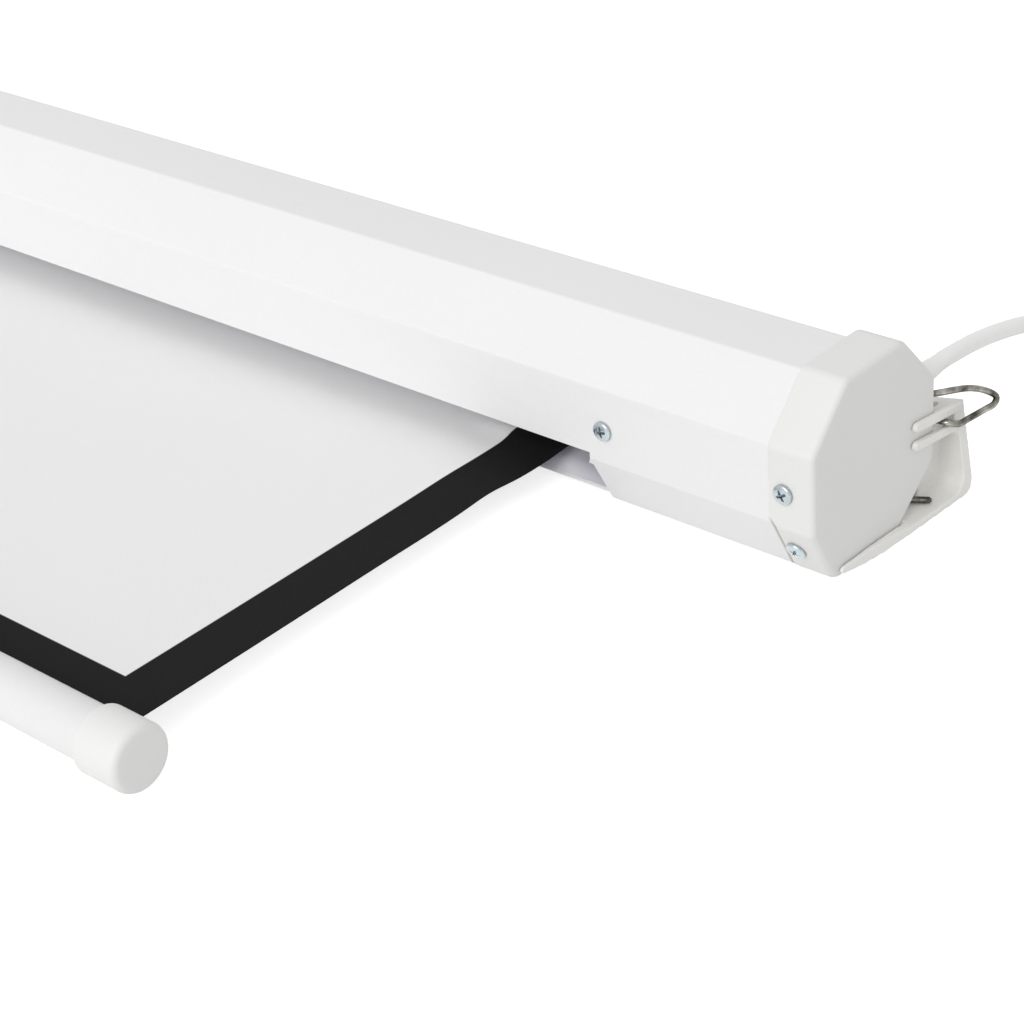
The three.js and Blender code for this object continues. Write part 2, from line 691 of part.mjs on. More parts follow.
// The ceiling flange's top slopes down from the cap's face plane inboard
function slopeBlock() {
  const high = casing.height;
  return box([-high, -overrun, 0], [0, bracket.back + overrun, high])
    .rotateY(-Math.atan(bracket.topSlopeShare))
    .translate(halfLength + bracket.faceGap, 0, bracket.wallTop);
}

// The top of the ceiling flange: a ledge in front of it, and a block that the fingers grow from
function bracketHead() {
  const from = halfLength - bracket.webEnd;
  const to = halfLength + bracket.faceGap + finger.width / 2;
  const inner = bracket.back - bracket.wallThickness;
  const rootLow = finger.tipZ - finger.pitch - finger.drop - finger.radius * 2;
  const root = box([from, inner - finger.radius, rootLow], [to, bracket.back, bracket.wallTop]);
  const ledge = box(
    [from, bracket.back - bracket.ledgeDepth, bracket.wallTop - bracket.ledgeThickness],
    [to, inner + overrun, bracket.wallTop]);
  return join(root, ledge);
}

function bracketHoles() {
  const x = halfLength - bracket.holeEnd;
  const long = bracket.wallThickness + overrun;
  const profile = [
    [0, -long], [bracket.holeRadius, -long], [bracket.holeRadius, overrun], [0, overrun]];
  return [
    turned(profile, [x, bracket.back, bracket.backHoleZ], [0, 1, 0], screw.sides),
    turned(profile, [x, bracket.back - bracket.floorHoleIn, surfaceZ], [0, 0, -1], screw.sides),
  ];
}

function makeBracket() {
  const from = halfLength - bracket.reach;
  const faceSide = halfLength + bracket.faceGap;
  const lip = prism(bracketOutline(), faceSide, halfLength + bracket.proud + overrun);
  const flanges = bracketFlanges(from, faceSide + overrun / 2);
  const rough = cut(join(flanges, lip), slantBlock());
  const body = cut(join(rough, bracketWeb(), bracketHead()), slopeBlock(), capRoom(clearance));
  return cut(join(body, bracketFinger(0), bracketFinger(1)), ...bracketHoles());
}

// Locking wire

function makeLockWire() {
  const low = surfaceZ + bracket.floorThickness + wire.radius + clearance;
  const from = new THREE.Vector3(halfLength - wire.inboard, wire.lowY, low);
  const size = new THREE.Vector3(halfLength + wire.outboard, wire.loopY, wire.topZ).sub(from);
  const route = wireShares.map((shares) =>
    new THREE.Vector3(...shares).multiply(size).add(from));
  const path = new THREE.CatmullRomCurve3(route, false, 'centripetal');
  return tubeAlong(path, wire.radius, wire.sides, wire.steps);
}

function tubeAlong(path, radius, sides, steps) {
  const circle = new THREE.Shape();
  for (let i = 0; i < sides; i += 1) {
    const angle = (i / sides) * 2 * Math.PI;
    const point = [radius * Math.cos(angle), radius * Math.sin(angle)];
    if (i === 0) circle.moveTo(...point);
    else circle.lineTo(...point);
  }
  circle.closePath();
  return new THREE.ExtrudeGeometry(circle, { steps, extrudePath: path, curveSegments: 1 });
}

// Mains lead

const reliefX = halfLength + lead.endOffset;
const reliefEnd = capBack + relief.outside;
const leadRadius = lead.diameter / 2;

function makeRelief() {
  const seat = capBack - casing.depth + clearance;
  const collarTop = seat + relief.collarThickness;
  const tipHeight = reliefEnd - casing.depth;
  const profile = [
    [0, -relief.inside], [relief.barrel, -relief.inside], [relief.barrel, seat],
    [relief.collar, seat], [relief.collar, collarTop], [relief.barrel, collarTop],
    [relief.tip, tipHeight], [0, tipHeight],
  ];
  return turned(profile, [reliefX, casing.depth, lead.z], [0, 1, 0], screw.sides);
}

// Inside lead from the strain relief to the motor head; its bends are offsets from the relief
const insideRoute = [[0, 0, 0], [0, -6.6, 0], [-9, -18, -3], [-24, -22.1, -7.86]];

function makeMotorLead() {
  const headEnd = plateOut + clearance * 2 + motor.headLength;
  const start = new THREE.Vector3(reliefX, casing.depth - relief.inside - clearance, lead.z);
  const path = new THREE.CatmullRomCurve3([
    ...insideRoute.map((offset) => new THREE.Vector3(...offset).add(start)),
    new THREE.Vector3(headEnd + lead.diameter, roller.y, roller.z),
    new THREE.Vector3(headEnd, roller.y, roller.z),
  ], false, 'centripetal');
  return tubeAlong(path, leadRadius, lead.sides, lead.insideSteps);
}

const tableZ = surfaceZ + leadRadius;
const turnPitch = lead.diameter + coil.gap;
const coilOuter = coil.midDiameter / 2 + (turnPitch * coil.turnsPerLayer) / 2;

// Free stretch, as (end offset, way behind the strain relief, Z) down to the surface
const leadRoute = [
  [-10, 0.3, lead.z], [-10, 6.2, lead.z], [-10.8, 17.2, 49.4],
  [-12.2, 32.2, 46.6], [-12.8, 46.2, 43.7], [-12.8, 60.2, 40.5], [-12.4, 73.2, 37.1],
  [-11.6, 87.2, 32.2], [-10.8, 101.2, 25.8], [-10.2, 115.2, 18.6], [-9.8, 129.2, 11.6],
  [-9.6, 141.2, 6.8], [-9.5, 153.2, 3.7], [-9.5, 165.2, 2.5], [-9.5, 177.2, 2.3],
  [-9.5, 189.2, 2.3],
];
const leadEnd = leadRoute.at(-1);
const coilCentre = new THREE.Vector3(
  halfLength + leadEnd[0] + coilOuter, reliefEnd + leadEnd[1] + clearance + lead.diameter,
  tableZ);

function makeCable() {
  const path = new THREE.CatmullRomCurve3(
    leadRoute.map(([end, behind, z]) =>
      new THREE.Vector3(halfLength + end, reliefEnd + behind, Math.max(z, tableZ))),
    false, 'centripetal');
  return tubeAlong(path, leadRadius, lead.sides, lead.freeSteps);
}

// The coil winds in on the surface, climbs a layer in a half turn, and winds out again above
const turnsIn = coil.turnsPerLayer;
const coilTurns = coil.layers * turnsIn + coil.climbTurns;
const innermost = turnsIn + coil.climbTurns / 2;

function coilPoint(turn) {
  const inward = Math.min(turn, innermost);
  const outward = Math.max(turn - innermost, 0);
  const radius = coilOuter - turnPitch * (inward - outward);
  const climb = Math.min(Math.max((turn - turnsIn) / coil.climbTurns, 0), 1);
  const angle = turn * 2 * Math.PI;
  return new THREE.Vector3(
    coilCentre.x - radius * Math.cos(angle),
    coilCentre.y + radius * Math.sin(angle),
    coilCentre.z + climb * turnPitch);
}

const coilSteps = coilTurns * coil.stepsPerTurn;
const coilLine = Array.from({ length: coilSteps + 1 }, (_, i) => coilPoint(i / coil.stepsPerTurn));
const coilLeadIn = coilLine[0].clone().add(new THREE.Vector3(0, -lead.diameter, 0));
const coilLeadOut = coilLine.at(-1).clone().add(new THREE.Vector3(0, -lead.diameter, 0));

// A tube with one ring of corners at each point, closed at both ends
function tubeThrough(points, radius, sides) {
  const up = new THREE.Vector3(0, 0, 1);
  const corners = [];
  points.forEach((point, i) => {
    const before = points[Math.max(i - 1, 0)];
    const after = points[Math.min(i + 1, points.length - 1)];
    const along = after.clone().sub(before).normalize();
    const side = along.clone().cross(up).normalize();
    const rise = side.clone().cross(along);
    for (let k = 0; k < sides; k += 1) {
      const angle = ((k + 0.5) / sides) * 2 * Math.PI;
      corners.push(point.clone()
        .addScaledVector(side, radius * Math.cos(angle))
        .addScaledVector(rise, radius * Math.sin(angle)));
    }
  });
  const index = [];
  for (let i = 0; i + 1 < points.length; i += 1) {
    for (let k = 0; k < sides; k += 1) {
      const a = i * sides + k;
      const b = i * sides + ((k + 1) % sides);
      index.push(a, a + sides, b, b, a + sides, b + sides);
    }
  }
  const last = (points.length - 1) * sides;
  for (let k = 1; k + 1 < sides; k += 1) {
    index.push(0, k, k + 1, last, last + k + 1, last + k);
  }
  const geometry = new THREE.BufferGeometry().setFromPoints(corners);
  geometry.setIndex(index);
  geometry.computeVertexNormals();
  return geometry;
}

function makeCoil() {
  const points = [coilLeadIn, ...coilLine, coilLeadOut];
  let least = Infinity;
  points.forEach((point, i) => {
    points.slice(i + coil.stepsPerTurn / 2).forEach((other) => {
      least = Math.min(least, point.distanceTo(other));
    });
  });
  console.log(`coil: least gap to itself ${(least - lead.diameter).toFixed(2)} mm`);
  return tubeThrough(points, leadRadius, coil.sides);
}

// A strap round all turns, on the side of the coil away from the casing
function makeTie() {
  const inner = coilOuter - turnPitch * innermost;
  const low = coilCentre.z - leadRadius - clearance;
  const high = coilCentre.z + turnPitch + leadRadius + clearance;
  const from = inner - leadRadius - clearance;
  const to = coilOuter + leadRadius + clearance;
  const outline = [[from, low], [to, low], [to, high], [from, high]]
    .map(([y, z]) => new THREE.Vector2(y, z));
  const middle = coilCentre.x;
  const width = [middle - tie.width / 2, middle + tie.width / 2];
  const outer = prism(roundedOutline(offsetOutline(outline, tie.thickness), tie.corner), ...width);
  const hole = prism(roundedOutline(outline, tie.corner / 2),
    width[0] - overrun, width[1] + overrun);
  const strap = cut(outer, hole).translate(0, coilCentre.y, 0);
  const under = box([width[0] - overrun, coilCentre.y, surfaceZ - tie.thickness * 2 - overrun],
    [width[1] + overrun, coilCentre.y + to + tie.thickness * 2, surfaceZ]);
  return cut(strap, under);
}

// Tail from the coil down to the plug, which lies beside the coil
const tailRoute = [
  [0, 0, 0], [0, -9, 0.2], [0.3, -20, 1.2], [0.8, -32, 3.2], [1, -44, 6], [1, -54, 7.9],
  [1, -62, 8.2],
];
const plugStart = new THREE.Vector3(
  coilLeadOut.x + tailRoute.at(-1)[0], coilLeadOut.y - clearance + tailRoute.at(-1)[1],
  coilLeadOut.z + tailRoute.at(-1)[2]);

function makeTail() {
  const path = new THREE.CatmullRomCurve3(
    tailRoute.map(([x, y, z]) => new THREE.Vector3(
      coilLeadOut.x + x, coilLeadOut.y - clearance + y, coilLeadOut.z + z)), false, 'centripetal');
  return tubeAlong(path, leadRadius, lead.sides, lead.tailSteps);
}

// Two-pin plug with a round face and flats at its sides

const plugLength = plug.gripLength + plug.faceLength;

function makePlugBody() {
  const profile = [
    [0, 0], [plug.tailRadius, 0], [plug.waistRadius, plug.gripLength * plug.waistShare],
    [plug.waistRadius * plug.swellWidthShare, plug.gripLength * plug.swellShare],
    [plug.radius - plug.edgeRadius, plug.gripLength - plug.edgeRadius],
    [plug.radius, plug.gripLength],
    ...roundedEdge(plug.radius, plugLength, plug.edgeRadius, plug.edgeSteps), [0, plugLength],
  ];
  const origin = plugStart.clone().add(new THREE.Vector3(0, -clearance, 0));
  const body = turned(profile, origin.toArray(), [0, -1, 0]);
  const faceY = origin.y - plugLength;
  const flats = [-1, 1].map((side) => {
    const near = origin.x + side * (plug.radius - plug.flatDepth);
    const far = origin.x + side * (plug.radius + overrun);
    return box([Math.min(near, far), faceY - overrun, origin.z - plug.waistRadius / 2],
      [Math.max(near, far), faceY + plug.flatLength, origin.z + plug.waistRadius / 2]);
  });
  return cut(body, ...flats, ...makePins(clearance));
}

function makePins(extra) {
  const faceY = plugStart.y - clearance - plugLength;
  return [-1, 1].map((side) => turned([
    [0, -plug.pinInside - extra], [plug.pinRadius + extra, -plug.pinInside - extra],
    [plug.pinRadius + extra, plug.pinLength - plug.pinRadius / 2],
    [plug.pinRadius / 2 + extra, plug.pinLength], [0, plug.pinLength],
  ], [plugStart.x + (side * plug.pinPitch) / 2, faceY, plugStart.z], [0, -1, 0], screw.sides));
}

// Materials

function material(color, roughness, metalness = 0) {
  return new THREE.MeshStandardMaterial({ color, roughness, metalness });
}

const materials = {
  whitePaint: material(0xf0f0f0, 0.45),
  whitePlastic: material(0xe9e9e6, 0.5),
  screenCloth: material(0xe7e7e7, 0.9),
  rollBack: material(0xd4d4d8, 0.9),
  zinc: material(0xb9c2c8, 0.35, 0.9),
  steel: material(0xa9a9a9, 0.4, 0.9),
  nickel: material(0xa8a29a, 0.3, 0.95),
  aluminium: material(0xc4c6c8, 0.45, 0.8),
  darkPlastic: material(0x3a3a3c, 0.6),
  cable: material(0xe6e6e2, 0.5),
};

// Assembly

const screen = new THREE.Group();

function add(name, geometry, finish) {
  const mesh = new THREE.Mesh(geometry, finish);
  mesh.name = name;
  screen.add(mesh);
}

function addPair(name, geometry, finish) {
  add(`${name}_right`, geometry, finish);
  add(`${name}_left`, mirrored(geometry), finish);
}

add('casing', makeCasing(), materials.whitePaint);
const capRight = makeEndCap();
add('end_cap_right', cut(capRight, reliefHole()), materials.whitePlastic);
add('end_cap_left', mirrored(capRight), materials.whitePlastic);
addPair('cap_screw_front', panScrew(seats.capFront), materials.zinc);
addPair('cap_screw_low', panScrew(seats.capChamfer), materials.zinc);
addPair('casing_screw', panScrew(seats.casing), materials.zinc);
add('motor_plate', makePlate(motor.radius + clearance, motorScrewPlaces), materials.steel);
add('idler_plate', mirrored(makePlate(idler.pinRadius + clearance, [])), materials.steel);
add('tubular_motor', makeMotor(), materials.steel);
makeMotorScrews().forEach((geometry, i) => {
  add(`motor_screw_${i + 1}`, geometry, materials.zinc);
});
add('motor_shaft', makeShaft(), materials.steel);
add('motor_crown', makeCrown(), materials.darkPlastic);
add('drive_wheel', makeDriveWheel(), materials.darkPlastic);
add('roller_tube', makeRollerTube(), materials.aluminium);
add('idler_plug', makeIdlerPlug(), materials.darkPlastic);
add('idler_pin', makeIdlerPin(), materials.steel);
add('fabric_roll', makeFabricRoll(), materials.rollBack);
add('screen_fabric', makeFabric(), materials.screenCloth);
add('hem_rod', makeKeder(), materials.whitePlastic);
add('bottom_bar', makeBar(), materials.whitePaint);
addPair('bar_cap', makeBarCap(), materials.whitePlastic);
addPair('bracket', makeBracket(), materials.whitePlastic);
addPair('lock_wire', makeLockWire(), materials.nickel);
add('strain_relief', makeRelief(), materials.whitePlastic);
add('motor_lead', makeMotorLead(), materials.cable);
add('power_cable', makeCable(), materials.cable);
add('cable_coil', makeCoil(), materials.cable);
add('cable_tail', makeTail(), materials.cable);
add('cable_tie', makeTie(), materials.darkPlastic);
add('plug_body', makePlugBody(), materials.cable);
makePins(0).forEach((geometry, i) => add(`plug_pin_${i + 1}`, geometry, materials.nickel));

// The finished part stands with its origin under the middle of the screen without its lead
const frontY = bar.y - barCap.radius;
const backY = wire.loopY + wire.radius;
screen.position.set(0, -(frontY + backY) / 2, -surfaceZ);
screen.updateMatrixWorld(true);

export default screen;
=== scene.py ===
"""Electric projector screen, lying on its wall side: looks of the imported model.

Sizes are millimetres in the part's own frame: X along the casing, -Y the way that the cloth is
drawn, Z up, from the casing's front and bottom facets. place() turns them into row-frame metres.
"""
import math

import bmesh
import bpy
import numpy as np
from mathutils import Matrix, Vector


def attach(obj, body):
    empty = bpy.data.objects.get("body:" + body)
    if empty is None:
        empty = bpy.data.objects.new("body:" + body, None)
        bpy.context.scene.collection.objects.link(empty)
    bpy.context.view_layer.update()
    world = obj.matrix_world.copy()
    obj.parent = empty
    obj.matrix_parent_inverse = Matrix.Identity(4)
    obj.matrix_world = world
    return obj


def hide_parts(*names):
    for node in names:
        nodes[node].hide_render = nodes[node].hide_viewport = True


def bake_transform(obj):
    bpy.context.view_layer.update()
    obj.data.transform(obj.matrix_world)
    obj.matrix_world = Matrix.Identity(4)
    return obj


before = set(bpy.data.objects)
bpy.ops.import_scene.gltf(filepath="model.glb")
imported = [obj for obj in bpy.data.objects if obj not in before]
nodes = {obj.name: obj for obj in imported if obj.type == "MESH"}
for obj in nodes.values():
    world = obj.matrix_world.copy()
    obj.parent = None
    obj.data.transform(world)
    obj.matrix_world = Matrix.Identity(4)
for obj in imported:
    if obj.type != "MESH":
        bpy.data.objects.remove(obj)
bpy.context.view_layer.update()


# Sizes
ENDS = (("right", 1), ("left", -1))  # points of the right end times [side, 1, 1] are the left's
HALF = 825.4                      # mid length to the outer face of an end cap
SURFACE = -1.3                    # what the screen lies on
SHIFT = np.array([0.0, 66.55, -SURFACE])  # from the part's frame to the row frame
GAP = 0.3                         # clearance between fitted pieces
OVERRUN = 4.0                     # how far a cutter passes what it cuts

# The casing's section, from its front facet at Y = 0 and its bottom facet at Z = 0
DEPTH, HEIGHT, WALL = 76.8, 80.0, 1.5
CREASE_Y, CREASE_Z = 13.0, 25.0   # run and rise of the low chamfer, which the slot is cut in
SECTION = np.array([
    [CREASE_Y, 0.0], [54.0, 0.0], [DEPTH, 21.1], [DEPTH, 57.4],
    [52.2, HEIGHT], [21.4, HEIGHT], [0.0, 58.1], [0.0, CREASE_Z]])
BEND = 2.0                        # outer radius of the bent sheet

SLOT_HALF, SLOT_TOP, SLOT_BACK = HALF - 107.1, 27.7, 16.35
NIB_LENGTH, NIB_Z = 2.2, 21.3     # the small nib left at each end of the slot
# The rolled edge of the slot's floor, and the front facet's edge, which is turned back
LIP_DEPTH, LIP_HEIGHT, LIP_REACH, LIP_RISE = 8.0, 6.0, 20.0, 1.6
RETURN_DEPTH, RETURN_EDGE, RETURN_WALL, RETURN_ROOT = 5.5, 0.9, 1.2, 0.2

# The end cap: a face, and a skirt that lies over the casing
CAP_LENGTH, CAP_FACE, CAP_OUT, CAP_BACK = 20.1, 3.0, 1.3, 81.8
CAP_START = HALF - CAP_LENGTH
CAP_TOP = HEIGHT + CAP_OUT
CASING_END = HALF - CAP_FACE - GAP
CAP_CORNER, CAP_CROWN, CAP_FOOT, CAP_EDGE, CAP_RIM = 5.5, 10.0, 9.5, 2.5, 0.8
HEEL_RUN, HEEL_RISE = 26.0, 20.8  # its slant from the underside to the back
CROWN_RUN, CROWN_DROP = 22.6, 25.0  # and from the top to the back
STEP_DEPTH, STEP_TOP, STEP_FOOT = 3.4, 30.0, 24.5
NOTCH_Y, NOTCH_TOP, NOTCH_DEPTH = (9.5, 16.5), 1.3, 5.2

# The cloth and its roller
PICTURE_HALF, PICTURE_HIGH, BORDER = 664.0, 747.0, 24.0
CLOTH_HALF, CLOTH_THICK, CLOTH_Z = PICTURE_HALF + BORDER, 0.42, 12.4
DRAWN, KEPT_BACK = 198.7, 300.0   # white cloth outside at rest, and spare cloth on the roller
ROLLER_Y, ROLLER_OUT = 38.4, 25.0
ROLLED = PICTURE_HIGH - DRAWN + BORDER + KEPT_BACK
ROLL_RADIUS = math.sqrt(ROLLER_OUT ** 2 + CLOTH_THICK * ROLLED / math.pi)
ROLLER_Z = CLOTH_Z + CLOTH_THICK / 2 + GAP + ROLL_RADIUS

# The bottom bar and its caps, whose outer faces are at BAR_FACE
BAR_Y, BAR_Z, BAR_RADIUS, BAR_WALL, BAR_SLIT = -229.0, 13.16, 10.85, 1.3, 1.8
BAR_FACE = HALF - 117.9
BAR_CAP_RADIUS, BAR_CAP_LENGTH, BAR_CAP_FACE = 13.2, 21.2, 3.0
BAR_CAP_EDGE, BAR_CAP_RIM, BAR_CAP_RING = 3.0, 0.5, 5.0
HEM_END_Y = BAR_Y + BAR_RADIUS - BAR_WALL
HEM_IN = 3.0                      # how far the hem goes into the bar's bore

# The mains lead, and where it comes out of the cap's back
LEAD = 7.2
LEAD_STEP, LEAD_SIDES = 2.5, 20
EXIT_X, EXIT_Z = HALF - 10.0, 51.0
RELIEF_END = CAP_BACK + 15.0


def place(points):
    """Part-frame millimetres as row-frame metres."""
    return (np.asarray(points, float) + SHIFT) * 0.001


# Curves and surfaces
def smooth_route(points, per_span=16):
    """Centripetal Catmull-Rom curve through the points: each span is Neville's blend of its four
    neighbouring points, with knots a square root of a chord apart. The end points are reflected."""
    p = np.asarray(points, float)
    p = np.vstack([2 * p[0] - p[1], p, 2 * p[-1] - p[-2]])
    chord = np.maximum(np.linalg.norm(np.diff(p, axis=0), axis=1), 1e-9) ** 0.5
    p0, p1, p2, p3 = (p[i:len(p) - 3 + i, None] for i in range(4))
    d0, d1, d2 = (chord[i:len(chord) - 2 + i, None, None] for i in range(3))
    t = np.linspace(0, 1, per_span, endpoint=False)[None, :, None] * d1
    a1 = (p1 * (t + d0) - p0 * t) / d0
    a2 = (p1 * (d1 - t) + p2 * t) / d1
    a3 = (p2 * (d1 + d2 - t) + p3 * (t - d1)) / d2
    b1 = (a1 * (d1 - t) + a2 * (t + d0)) / (d0 + d1)
    b2 = (a2 * (d1 + d2 - t) + a3 * t) / (d1 + d2)
    curve = (b1 * (d1 - t) + b2 * t) / d1
    return np.vstack([curve.reshape(-1, 3), p[-2:-1]])


def even_steps(path, step):
    """The same line with points a constant distance apart along it."""
    far = np.concatenate([[0], np.cumsum(np.linalg.norm(np.diff(path, axis=0), axis=1))])
    at = np.linspace(0, far[-1], max(int(round(far[-1] / step)), 2) + 1)
    return np.stack([np.interp(at, far, path[:, k]) for k in range(3)], axis=1)


def tube(path, radius, sides, up=(0, 0, 1)):
    """A circle carried along a line: point(i, a) = path(i) + r (side cos a + rise sin a), where
    side is square to the line and to up, and rise to both. Returns a rings x sides grid."""
    along = np.gradient(path, axis=0)
    along /= np.linalg.norm(along, axis=1, keepdims=True)
    side = np.cross(along, np.asarray(up, float))
    side /= np.linalg.norm(side, axis=1, keepdims=True)
    rise = np.cross(side, along)
    angle = np.linspace(0, 2 * math.pi, sides, endpoint=False)[None, :, None]
    radius = np.broadcast_to(radius, len(path))[:, None, None]
    return path[:, None] + radius * (side[:, None] * np.cos(angle) + rise[:, None] * np.sin(angle))


def turned(profile, at, axis, sides):
    """A profile of (radius, height) rows turned about an axis: point(i, a) = at + height axis
    + radius (u cos a + v sin a), with u and v square to the axis."""
    profile = np.asarray(profile, float)
    axis = np.asarray(axis, float) / np.linalg.norm(axis)
    u = np.cross(axis, [0.0, 0.0, 1.0] if abs(axis[2]) < 0.9 else [1.0, 0.0, 0.0])
    u /= np.linalg.norm(u)
    v = np.cross(axis, u)
    angle = np.linspace(0, 2 * math.pi, sides, endpoint=False)[None, :, None]
    ring = u * np.cos(angle) + v * np.sin(angle)
    return np.asarray(at, float) + profile[:, 1, None, None] * axis + profile[:, 0, None, None] * ring


def arc(centre, radius, start, end, steps):
    """Points of a circle arc, angles in degrees."""
    angle = np.radians(np.linspace(start, end, steps + 1))
    return np.stack([centre[0] + radius * np.cos(angle), centre[1] + radius * np.sin(angle)], 1)


def offset_outline(corners, distance):
    """Corners moved outward so that each side shifts by the distance: along the half-angle of
    the two side normals, by distance over its cosine."""
    along = corners - np.roll(corners, 1, axis=0)
    along /= np.linalg.norm(along, axis=1, keepdims=True)
    normal = np.stack([along[:, 1], -along[:, 0]], 1)
    half = normal + np.roll(normal, -1, axis=0)
    half /= np.linalg.norm(half, axis=1, keepdims=True)
    return corners + half * (distance / np.sum(half * normal, axis=1))[:, None]


def rounded_outline(corners, radius, steps=8):
    """The outline with an arc at each corner, of one radius or one each: its centre lies on the
    inner half-angle line, at radius over the sine of half the corner's angle."""
    radius = np.broadcast_to(radius, len(corners)).astype(float)
    before = np.roll(corners, 1, axis=0) - corners
    after = np.roll(corners, -1, axis=0) - corners
    before /= np.linalg.norm(before, axis=1, keepdims=True)
    after /= np.linalg.norm(after, axis=1, keepdims=True)
    half = np.arccos(np.clip(np.sum(before * after, axis=1), -1, 1)) / 2
    middle = before + after
    middle /= np.linalg.norm(middle, axis=1, keepdims=True)
    centre = corners + middle * (radius / np.sin(half))[:, None]
    start = corners + before * (radius / np.tan(half))[:, None] - centre
    first = np.arctan2(start[:, 1], start[:, 0])
    turn = math.pi - 2 * half
    angle = first[:, None] + turn[:, None] * np.linspace(0, 1, steps + 1)[None]
    points = centre[:, None] + radius[:, None, None] * np.stack([np.cos(angle), np.sin(angle)], 2)
    return points.reshape(-1, 2)


def loft(outlines, xs):
    """Outlines of (Y, Z) rows, all with as many points, each at its own X."""
    outlines = np.asarray(outlines, float)
    xs = np.broadcast_to(np.asarray(xs, float)[:, None], outlines.shape[:2])
    return np.concatenate([xs[..., None], outlines], axis=2)


def quads(rows, cols, close_rows=False):
    """Corner numbers of the quads between neighbouring points of a rows x cols grid, which is
    closed round its columns."""
    r = np.arange(rows if close_rows else rows - 1)[:, None]
    c = np.arange(cols)[None]
    r2, c2 = (r + 1) % rows, (c + 1) % cols
    corners = [r * cols + c, r * cols + c2, r2 * cols + c2, r2 * cols + c]
    return np.stack(np.broadcast_arrays(*corners), -1).reshape(-1, 4)


# Pieces
def add_object(name, data):
    """A new object in the scene."""
    obj = bpy.data.objects.new(name, data)
    bpy.context.scene.collection.objects.link(obj)
    return obj


def smooth_faces(mesh, sharp):
    """Smooth shading, but for edges over the sharp angle in degrees."""
    mesh.polygons.foreach_set("use_smooth", np.ones(len(mesh.polygons), bool))
    mesh.set_sharp_from_angle(angle=math.radians(sharp))


def build(name, points, faces, sharp=35.0):
    """A mesh object from millimetre points, its doubles merged and its faces turned outwards."""
    mesh = bpy.data.meshes.new(name)
    mesh.from_pydata(place(points.reshape(-1, 3)).tolist(), [], faces)
    work = bmesh.new()
    work.from_mesh(mesh)
    bmesh.ops.remove_doubles(work, verts=work.verts, dist=2e-6)
    bmesh.ops.recalc_face_normals(work, faces=work.faces)
    work.to_mesh(mesh)
    work.free()
    smooth_faces(mesh, sharp)
    return add_object(name, mesh)


def from_grid(name, grid, close_rows=False, ends=True, sharp=35.0):
    """A grid of millimetre points, closed round its columns, with a face over each end ring."""
    rows, cols = grid.shape[:2]
    faces = quads(rows, cols, close_rows).tolist()
    if ends and not close_rows:
        faces += [list(range(cols)), list(range((rows - 1) * cols, rows * cols))]
    return build(name, grid, faces, sharp)


def band(name, grid):
    """A grid whose rings go out along one side of a thin band and back along the other, with as
    many points on each: both end rings are closed by quads between the facing points."""
    rows, cols = grid.shape[:2]
    faces = quads(rows, cols).tolist()
    step = np.arange(cols // 2 - 1)
    for first in (0, (rows - 1) * cols):
        low, high = first + step, first + cols - 1 - step
        faces += np.stack([low, high, high - 1, low + 1], 1).tolist()
    return build(name, grid, faces)


def cutter_back(name, outline, front, back):
    """Prism of one outline of (X, Z) rows, from the front to the back along Y."""
    return from_grid(name, np.stack([
        np.column_stack([outline[:, 0], np.full(len(outline), y), outline[:, 1]])
        for y in (front, back)]))


def apply_modifiers(obj):
    """The mesh with its modifiers worked in."""
    bpy.context.view_layer.update()
    shown = obj.evaluated_get(bpy.context.evaluated_depsgraph_get())
    mesh = bpy.data.meshes.new_from_object(shown)
    obj.modifiers.clear()
    old = obj.data
    obj.data = mesh
    mesh.name = old.name
    bpy.data.meshes.remove(old)


def carve(obj, *cutters, sharp):
    """Takes each cutter's volume out of the piece and removes the cutter."""
    for cutter in cutters:
        cut = obj.modifiers.new("cut", "BOOLEAN")
        cut.operation, cut.solver, cut.object = "DIFFERENCE", "EXACT", cutter
        apply_modifiers(obj)
        bpy.data.objects.remove(cutter)
    smooth_faces(obj.data, sharp)


def face_values(mesh, name):
    """The centre or the normal of every face, one row each, in the row frame."""
    values = np.empty(len(mesh.polygons) * 3)
    mesh.polygons.foreach_get(name, values)
    return values.reshape(-1, 3)


def refinish(mesh, material, chosen):
    """A second material on the chosen faces."""
    mesh.materials.append(material)
    mesh.polygons.foreach_set("material_index", chosen.astype(int))


def dress(obj, material, body="housing", stands_for=()):
    """Material, body and the CAD nodes that the piece stands for."""
    obj.data.materials.clear()
    obj.data.materials.append(material)
    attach(obj, body)
    if stands_for:
        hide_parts(*stands_for)
    return obj


# Materials
def linear(code):
    """An sRGB hex colour as linear red, green, blue, alpha."""
    values = [int(code[i:i + 2], 16) / 255 for i in (1, 3, 5)]
    return [v / 12.92 if v <= 0.04045 else ((v + 0.055) / 1.055) ** 2.4 for v in values] + [1.0]


def add_node(tree, kind, links=(), values=(), **settings):
    """A node with its settings, its unlinked values and its incoming links, by socket name."""
    made = tree.nodes.new(kind)
    for key, value in settings.items():
        setattr(made, key, value)
    for key, value in dict(values).items():
        made.inputs[key].default_value = value
    for key, source in dict(links).items():
        tree.links.new(source, made.inputs[key])
    return made


def new_material(name, color, roughness, metallic=0.0, **shader_values):
    """A Principled material; returns it, its tree and its shader."""
    made = bpy.data.materials.new(name)
    made.use_nodes = True
    tree = made.node_tree
    shader = tree.nodes["Principled BSDF"]
    shader.inputs["Base Color"].default_value = linear(color)
    shader.inputs["Roughness"].default_value = roughness
    shader.inputs["Metallic"].default_value = metallic
    for key, value in shader_values.items():
        shader.inputs[key].default_value = value
    return made, tree, shader


def maths(tree, operation, *sockets):
    """One step of arithmetic on the sockets' values."""
    made = add_node(tree, "ShaderNodeMath", dict(enumerate(sockets)), operation=operation)
    return made.outputs["Value"]


